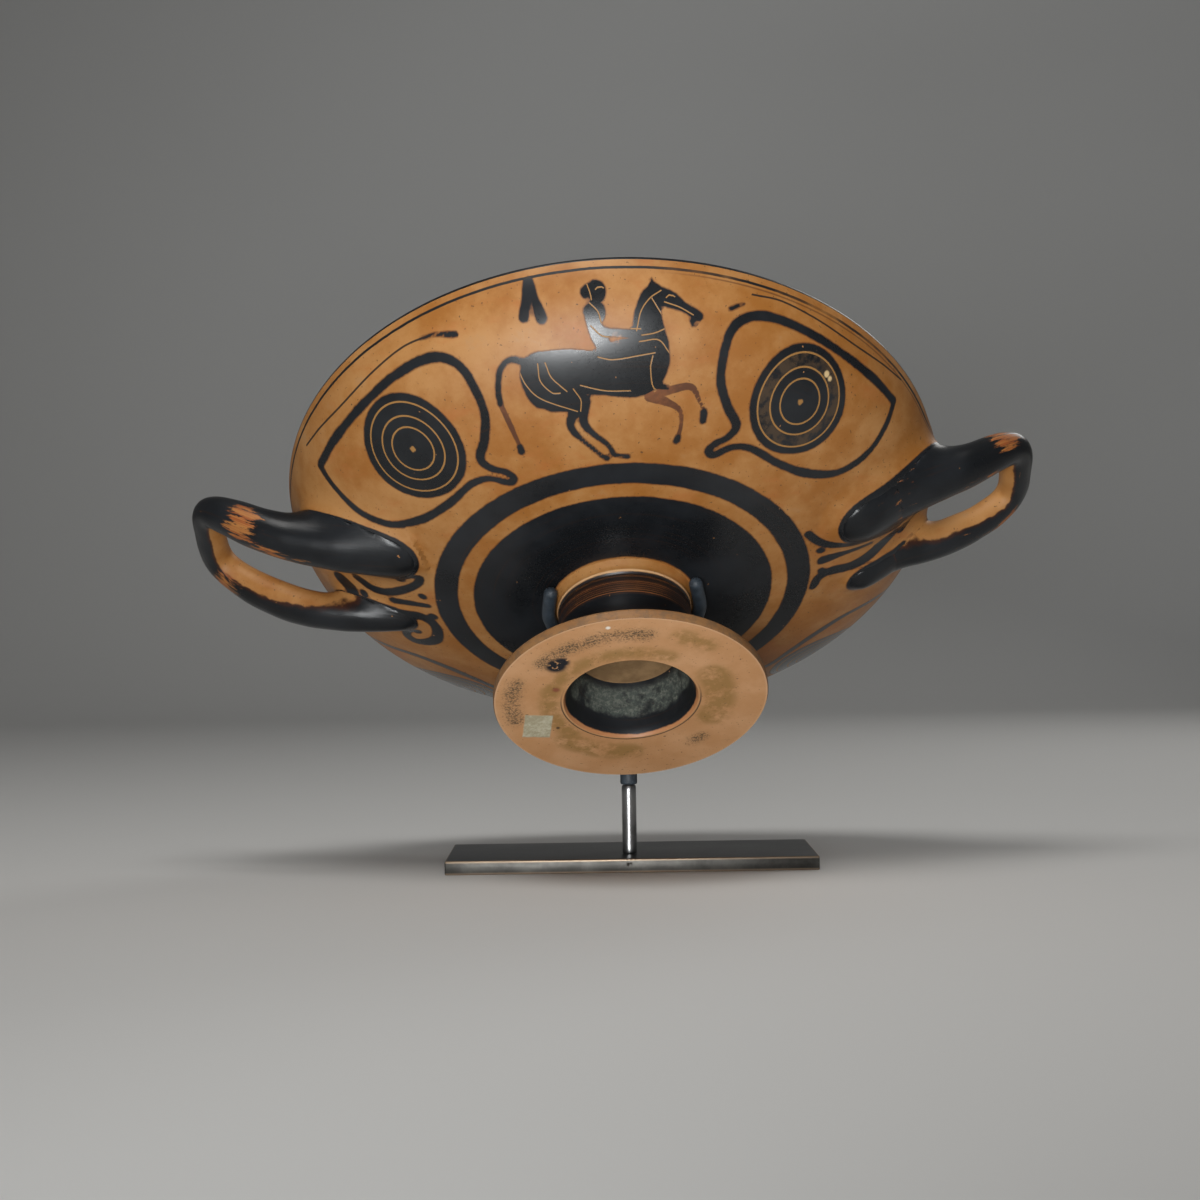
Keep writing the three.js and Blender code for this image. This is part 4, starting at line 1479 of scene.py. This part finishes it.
def bar_mesh(name, bars, sides, finish):
    """Several rounded bars of one finish as one mesh. Each bar is a line and its radii."""
    shell = Shell()
    step = 0.98 / len(bars)
    for number, (line, radii) in enumerate(bars):
        grid, _ = tube(np.array(line), np.array(radii), sides)
        low = (0.01, 0.01 + step * number)
        high = (0.99, -0.02 + step * (number + 1))
        rows = shell.add_grid(f"bar_{number}", grid, 0, long_strip(len(line), sides + 1, low, high))
        shell.close_ends(rows, 0, low)
    return shell.mesh(name, [finish])


CRADLE_HEIGHT = 47.4
CRADLE_BEND = 32.2
CRADLE_SPREAD = 30.6
CRADLE_REACH = 13.5
CRADLE_SIDES = 28
ROD_SIDES = 48
END_GAP = 0.0003


def cradle_line(shape):
    """The fork's U, in metres: bent round the stem's back, across the cup's axis."""
    turns = np.linspace(0.0, math.pi, 17)
    bend = [(CRADLE_BEND * math.cos(turn), CRADLE_BEND * math.sin(turn)) for turn in turns]
    flat = [(CRADLE_SPREAD, -CRADLE_REACH), *bend, (-CRADLE_SPREAD, -CRADLE_REACH)]
    path = rounded([(x, y, CRADLE_HEIGHT) for x, y in flat], 8)
    return shape.placed(evenly(path, 1.2))


def sleeve_finish(colours):
    """Matt dark sleeve, a little rubbed and dusty."""
    finish = Finish("rod_sleeve")
    at = finish.position()
    cloud = finish.noise(at, 120.0, 4.0, 0.6)
    grain = finish.noise(at, 1500.0, 2.0, 0.6)
    rubbed = finish.step(cloud, 0.35, 0.75)
    shade = finish.mix(rubbed, tuple(colours.sleeve), tinted(colours.sleeve, 2.1))
    dust = finish.step(finish.noise(at, 420.0, 3.0, 0.7), 0.58, 0.74)
    shade = finish.mix(dust * 0.25, shade, (0.16, 0.17, 0.18))
    finish.set(Base_Color=shade, Roughness=0.48 + cloud * 0.2)
    finish.bump(grain * 0.5 + cloud * 0.5, 0.00012, 0.5)
    return finish


def steel_finish(colours):
    """Turned steel with fine rings and faint tarnish."""
    finish = Finish("bare_steel", metallic=1.0)
    at = finish.position()
    rings = finish.noise(finish.stretched(at, (12.0, 12.0, 2600.0)), 1.0, 3.0, 0.6)
    cloud = finish.noise(at, 90.0, 4.0, 0.65)
    tarnish = finish.step(cloud, 0.40, 0.75)
    shade = finish.mix(tarnish, tuple(colours.steel), tinted(colours.steel, 0.55))
    finish.set(Base_Color=shade, Roughness=0.20 + rings * 0.14 + cloud * 0.08)
    finish.bump(rings, 0.00005, 0.4)
    return finish


class KYLIX_OT_make_fork(bpy.types.Operator):
    """Make the sleeved fork that holds the stem, with its neck and collar"""

    bl_idname = "kylix.make_fork"
    bl_label = "Make fork"

    def execute(self, context):
        sizes = context.scene.kylix_stand
        fork = cradle_line(CupShape(context.scene.kylix_cup))
        back = fork[len(fork) // 2]
        x, y, _ = (POST_LOW + POST_HIGH) / 2
        foot = POST_HIGH[2] + END_GAP
        top = foot + sizes.collar_height
        neck = evenly([(x, y, foot), (x, y, back[2] - END_GAP)], 0.002)
        heights = (foot, foot + 0.0004, *np.linspace(foot + 0.001, top - 0.001, 6), top)
        collar = [(x, y, height) for height in heights]
        wide = sizes.collar_radius
        collar_radii = [wide - 0.0004, wide - 0.0001, *[wide] * 6, wide - 0.0005]
        bars = (
            domed(fork, [sizes.sleeve_radius] * len(fork)),
            (neck, [sizes.sleeve_radius] * len(neck)),
            (collar, collar_radii),
        )
        mesh = bar_mesh("fork_skin", bars, CRADLE_SIDES, sleeve_finish(sizes))
        place_piece(mesh, "cradle_arm")
        return {"FINISHED"}


class KYLIX_OT_make_rod(bpy.types.Operator):
    """Make the bare rod between the plate and the collar"""

    bl_idname = "kylix.make_rod"
    bl_label = "Make rod"

    def execute(self, context):
        x, y, _ = (POST_LOW + POST_HIGH) / 2
        radius = (POST_HIGH[0] - POST_LOW[0]) / 2
        low, high = POST_LOW[2], POST_HIGH[2]
        heights = [low, low + 0.0005, *np.linspace(low + 0.002, high - 0.0025, 12), high - 0.0006, high]
        line = [(x, y, height) for height in heights]
        radii = [radius - 0.0002, *[radius] * (len(heights) - 3), radius - 0.0001, radius - 0.0005]
        finish = steel_finish(context.scene.kylix_stand)
        mesh = bar_mesh("rod_skin", ((line, radii),), ROD_SIDES, finish)
        place_piece(mesh, "cradle_post")
        return {"FINISHED"}


def plate_finish(colours):
    """Dark polished top, faintly brushed and dusty."""
    finish = Finish("plate_top", specular=0.2)
    at = finish.position()
    brushed = finish.noise(finish.stretched(at, (30.0, 1100.0, 30.0)), 1.0, 3.0, 0.6)
    cloud = finish.noise(at, 22.0, 5.0, 0.65)
    dust = finish.step(finish.noise(at, 620.0, 3.0, 0.7), 0.62, 0.75)
    dulled = finish.step(cloud, 0.3, 0.75)
    shade = finish.mix(dulled, tuple(colours.plate), tinted(colours.plate, 1.7))
    shade = finish.mix(dust * 0.10, shade, (0.20, 0.19, 0.18))
    finish.set(Base_Color=shade, Roughness=0.20 + cloud * 0.12 + brushed * 0.08 + dust * 0.1)
    finish.bump(brushed, 0.00004, 0.25)
    return finish


NICK = (-0.0011, 0.0036)


def plate_side_finish(colours):
    """Brushed sides with a painted warm highlight along their top and bottom edges, and a small nick."""
    finish = Finish("plate_side", metallic=1.0)
    at = finish.position()
    brushed = finish.noise(finish.stretched(at, (25.0, 25.0, 1900.0)), 1.0, 3.0, 0.65)
    cloud = finish.noise(at, 60.0, 4.0, 0.65)
    across, height = finish.part(at, 0), finish.part(at, 2)
    half = (PLATE_HIGH[2] - PLATE_LOW[2]) / 2
    # painted highlight: warm, brighter bands along the top and bottom edges of the sides
    edge = finish.step(abs(height - half), half - 0.0012, half - 0.0003)
    worn = finish.step(cloud, 0.35, 0.7)
    shade = finish.mix(worn, tinted(colours.plate_edge, 0.45), tuple(colours.plate_edge))
    shade = finish.mix(edge * 0.8, shade, (0.34, 0.25, 0.175))
    nick = finish.step(abs(across - NICK[0]), 0.0016, 0.0006)
    nick = nick * finish.step(abs(height - NICK[1]), 0.0011, 0.0004)
    nick = nick * finish.step(finish.noise(at, 500.0, 2.0), 0.40, 0.5)
    shade = finish.mix(nick * 0.85, shade, (0.02, 0.016, 0.012))
    finish.set(Base_Color=shade, Roughness=0.30 + brushed * 0.18 + nick * 0.3)
    finish.bump(brushed, 0.00005, 0.5)
    return finish


PLATE_CORNER = 0.0004


class KYLIX_OT_make_plate(bpy.types.Operator):
    """Make the foot plate with eased edges"""

    bl_idname = "kylix.make_plate"
    bl_label = "Make plate"

    def execute(self, context):
        sizes = context.scene.kylix_stand
        ease = sizes.plate_ease
        low, high = np.array(PLATE_LOW), np.array(PLATE_HIGH)
        turns = np.linspace(0.0, math.pi / 2, 4)
        rings = [(ease * (1 - math.sin(turn)), ease * (1 - math.cos(turn))) for turn in turns]
        rings = [(inset, low[2] + height) for inset, height in rings]
        rings += [(inset, low[2] + high[2] - height) for inset, height in rings[::-1]]
        grid = np.array([self.ring(low, high, inset, height) for inset, height in rings])
        shell = Shell()
        spots = strip(len(rings), grid.shape[1] + 1, (0.02, 0.55), (0.98, 0.75))
        rows = shell.add_grid("side", grid, 1, spots)
        for row, order, start in ((0, -1, 0.02), (-1, 1, 0.28)):
            share = (grid[row] - low)[:, :2] / (high - low)[:2]
            flat = np.array((0.02, start)) + np.array((0.96, 0.24)) * share
            shell.add_faces([rows[row][:-1][::order]], 0, [flat[::order]])
        mesh = shell.mesh("plate_skin", [plate_finish(sizes), plate_side_finish(sizes)], 40.0)
        place_piece(mesh, "foot_plate")
        return {"FINISHED"}

    @staticmethod
    def ring(low, high, inset, height):
        """One outline of the plate with small round corners."""
        x, y, _ = (low + high) / 2
        across, deep, _ = (high - low) / 2 - inset - PLATE_CORNER
        points = []
        for quarter, (sx, sy) in enumerate(((1, 1), (-1, 1), (-1, -1), (1, -1))):
            for turn in np.linspace(0.0, math.pi / 2, 4) + quarter * math.pi / 2:
                points.append((
                    x + sx * across + PLATE_CORNER * math.cos(turn),
                    y + sy * deep + PLATE_CORNER * math.sin(turn),
                    height,
                ))
        return points


# ---- the stage ----------------------------------------------------------------------------

COOL = (0.97, 0.99, 1.0)
WARM = (1.0, 0.98, 0.95)


class KYLIX_OT_make_stage(bpy.types.Operator):
    """Make the floor, the backdrop, the lights and the camera"""

    bl_idname = "kylix.make_stage"
    bl_label = "Make stage"

    def execute(self, context):
        stage = context.scene.kylix_stage
        scene = context.scene
        self.backdrop(scene, stage)
        self.light(scene, "key", (-0.12, -1.28, 0.09), (0.0, -0.1, 0.21), (0.4, 0.4), stage.key, COOL, 50)
        self.light(scene, "low", (-0.15, -0.86, 0.03), (0.0, -0.1, 0.21), (0.26, 0.05), stage.low, COOL, 60)
        self.light(scene, "top", (-0.15, -0.45, 1.15), (0.0, -0.02, 0.15), (0.5, 0.5), stage.fill, WARM)
        self.light(scene, "edge", (0.7, 0.9, 0.9), (0.0, 0.0, 0.15), (0.5, 0.5), stage.fill * 0.5, WARM)
        world = bpy.data.worlds.new("studio")
        world.use_nodes = True
        background = world.node_tree.nodes["Background"]
        background.inputs["Color"].default_value = (0.86, 0.86, 0.86, 1.0)
        background.inputs["Strength"].default_value = 0.12
        scene.world = world
        scene.view_settings.view_transform = "Standard"
        self.camera(scene, stage)
        return {"FINISHED"}

    @staticmethod
    def backdrop(scene, stage):
        """A pale floor that curves up behind the object."""
        turns = np.linspace(0, math.pi / 2, 12)
        bend = [(1.4 + 0.6 * math.sin(turn), 0.6 - 0.6 * math.cos(turn)) for turn in turns]
        side = [(-2.4, 0.0), *bend, (2.0, 3.2)]
        points = [(x, y, z) for y, z in side for x in (-3.0, 3.0)]
        faces = [(2 * i, 2 * i + 1, 2 * i + 3, 2 * i + 2) for i in range(len(side) - 1)]
        mesh = bpy.data.meshes.new("studio_floor")
        mesh.from_pydata(points, [], faces)
        mesh.polygons.foreach_set("use_smooth", [True] * len(faces))
        finish = Finish("studio_paper")
        finish.set(Base_Color=tuple(stage.backdrop), Roughness=0.85)
        mesh.materials.append(finish.material)
        floor = bpy.data.objects.new("studio_floor", mesh)
        scene.collection.objects.link(floor)

    @staticmethod
    def light(scene, name, place, target, size, watts, tint, spread=180):
        """A soft rectangular light, aimed at a place, its spread in degrees."""
        data = bpy.data.lights.new(name, "AREA")
        data.spread = math.radians(spread)
        data.shape = "RECTANGLE"
        data.size, data.size_y = size
        data.energy = watts
        data.color = tint
        lamp = bpy.data.objects.new(name, data)
        lamp.location = place
        aim = Vector(target) - Vector(place)
        lamp.rotation_euler = aim.to_track_quat("-Z", "Y").to_euler()
        scene.collection.objects.link(lamp)

    @staticmethod
    def camera(scene, stage):
        """A level camera that looks straight along +Y, rolled a little."""
        data = bpy.data.cameras.new("view")
        data.lens = stage.lens
        data.sensor_width = 36.0
        data.clip_end = 50.0
        eye = bpy.data.objects.new("view", data)
        cos, sin = math.cos(stage.camera_roll), math.sin(stage.camera_roll)
        axes = Matrix(((cos, sin, 0.0), (0.0, 0.0, -1.0), (-sin, cos, 0.0)))
        eye.matrix_world = Matrix.Translation(stage.camera) @ axes.to_4x4()
        scene.collection.objects.link(eye)
        scene.camera = eye


# ---- panel and registration ---------------------------------------------------------------

STEPS = (
    KYLIX_OT_make_stage, KYLIX_OT_make_cup, KYLIX_OT_make_fork, KYLIX_OT_make_rod, KYLIX_OT_make_plate,
)


class KYLIX_PT_panel(bpy.types.Panel):
    """Steps that build the cup and its stand"""

    bl_label = "Kylix"
    bl_idname = "KYLIX_PT_panel"
    bl_space_type = "VIEW_3D"
    bl_region_type = "UI"
    bl_category = "Kylix"

    def draw(self, context):
        for step in STEPS:
            self.layout.operator(step.bl_idname)


GROUPS = {"kylix_cup": CupSettings, "kylix_stand": StandSettings, "kylix_stage": StageSettings}


def register():
    for name, group in GROUPS.items():
        bpy.utils.register_class(group)
        setattr(bpy.types.Scene, name, bpy.props.PointerProperty(type=group))
    for step in (*STEPS, KYLIX_PT_panel):
        bpy.utils.register_class(step)


def unregister():
    for step in (KYLIX_PT_panel, *STEPS):
        bpy.utils.unregister_class(step)
    for name, group in GROUPS.items():
        delattr(bpy.types.Scene, name)
        bpy.utils.unregister_class(group)


def main():
    register()
    bpy.ops.kylix.make_stage()
    bpy.ops.kylix.make_cup()
    bpy.ops.kylix.make_fork()
    bpy.ops.kylix.make_rod()
    bpy.ops.kylix.make_plate()


if __name__ == "__main__":
    main()
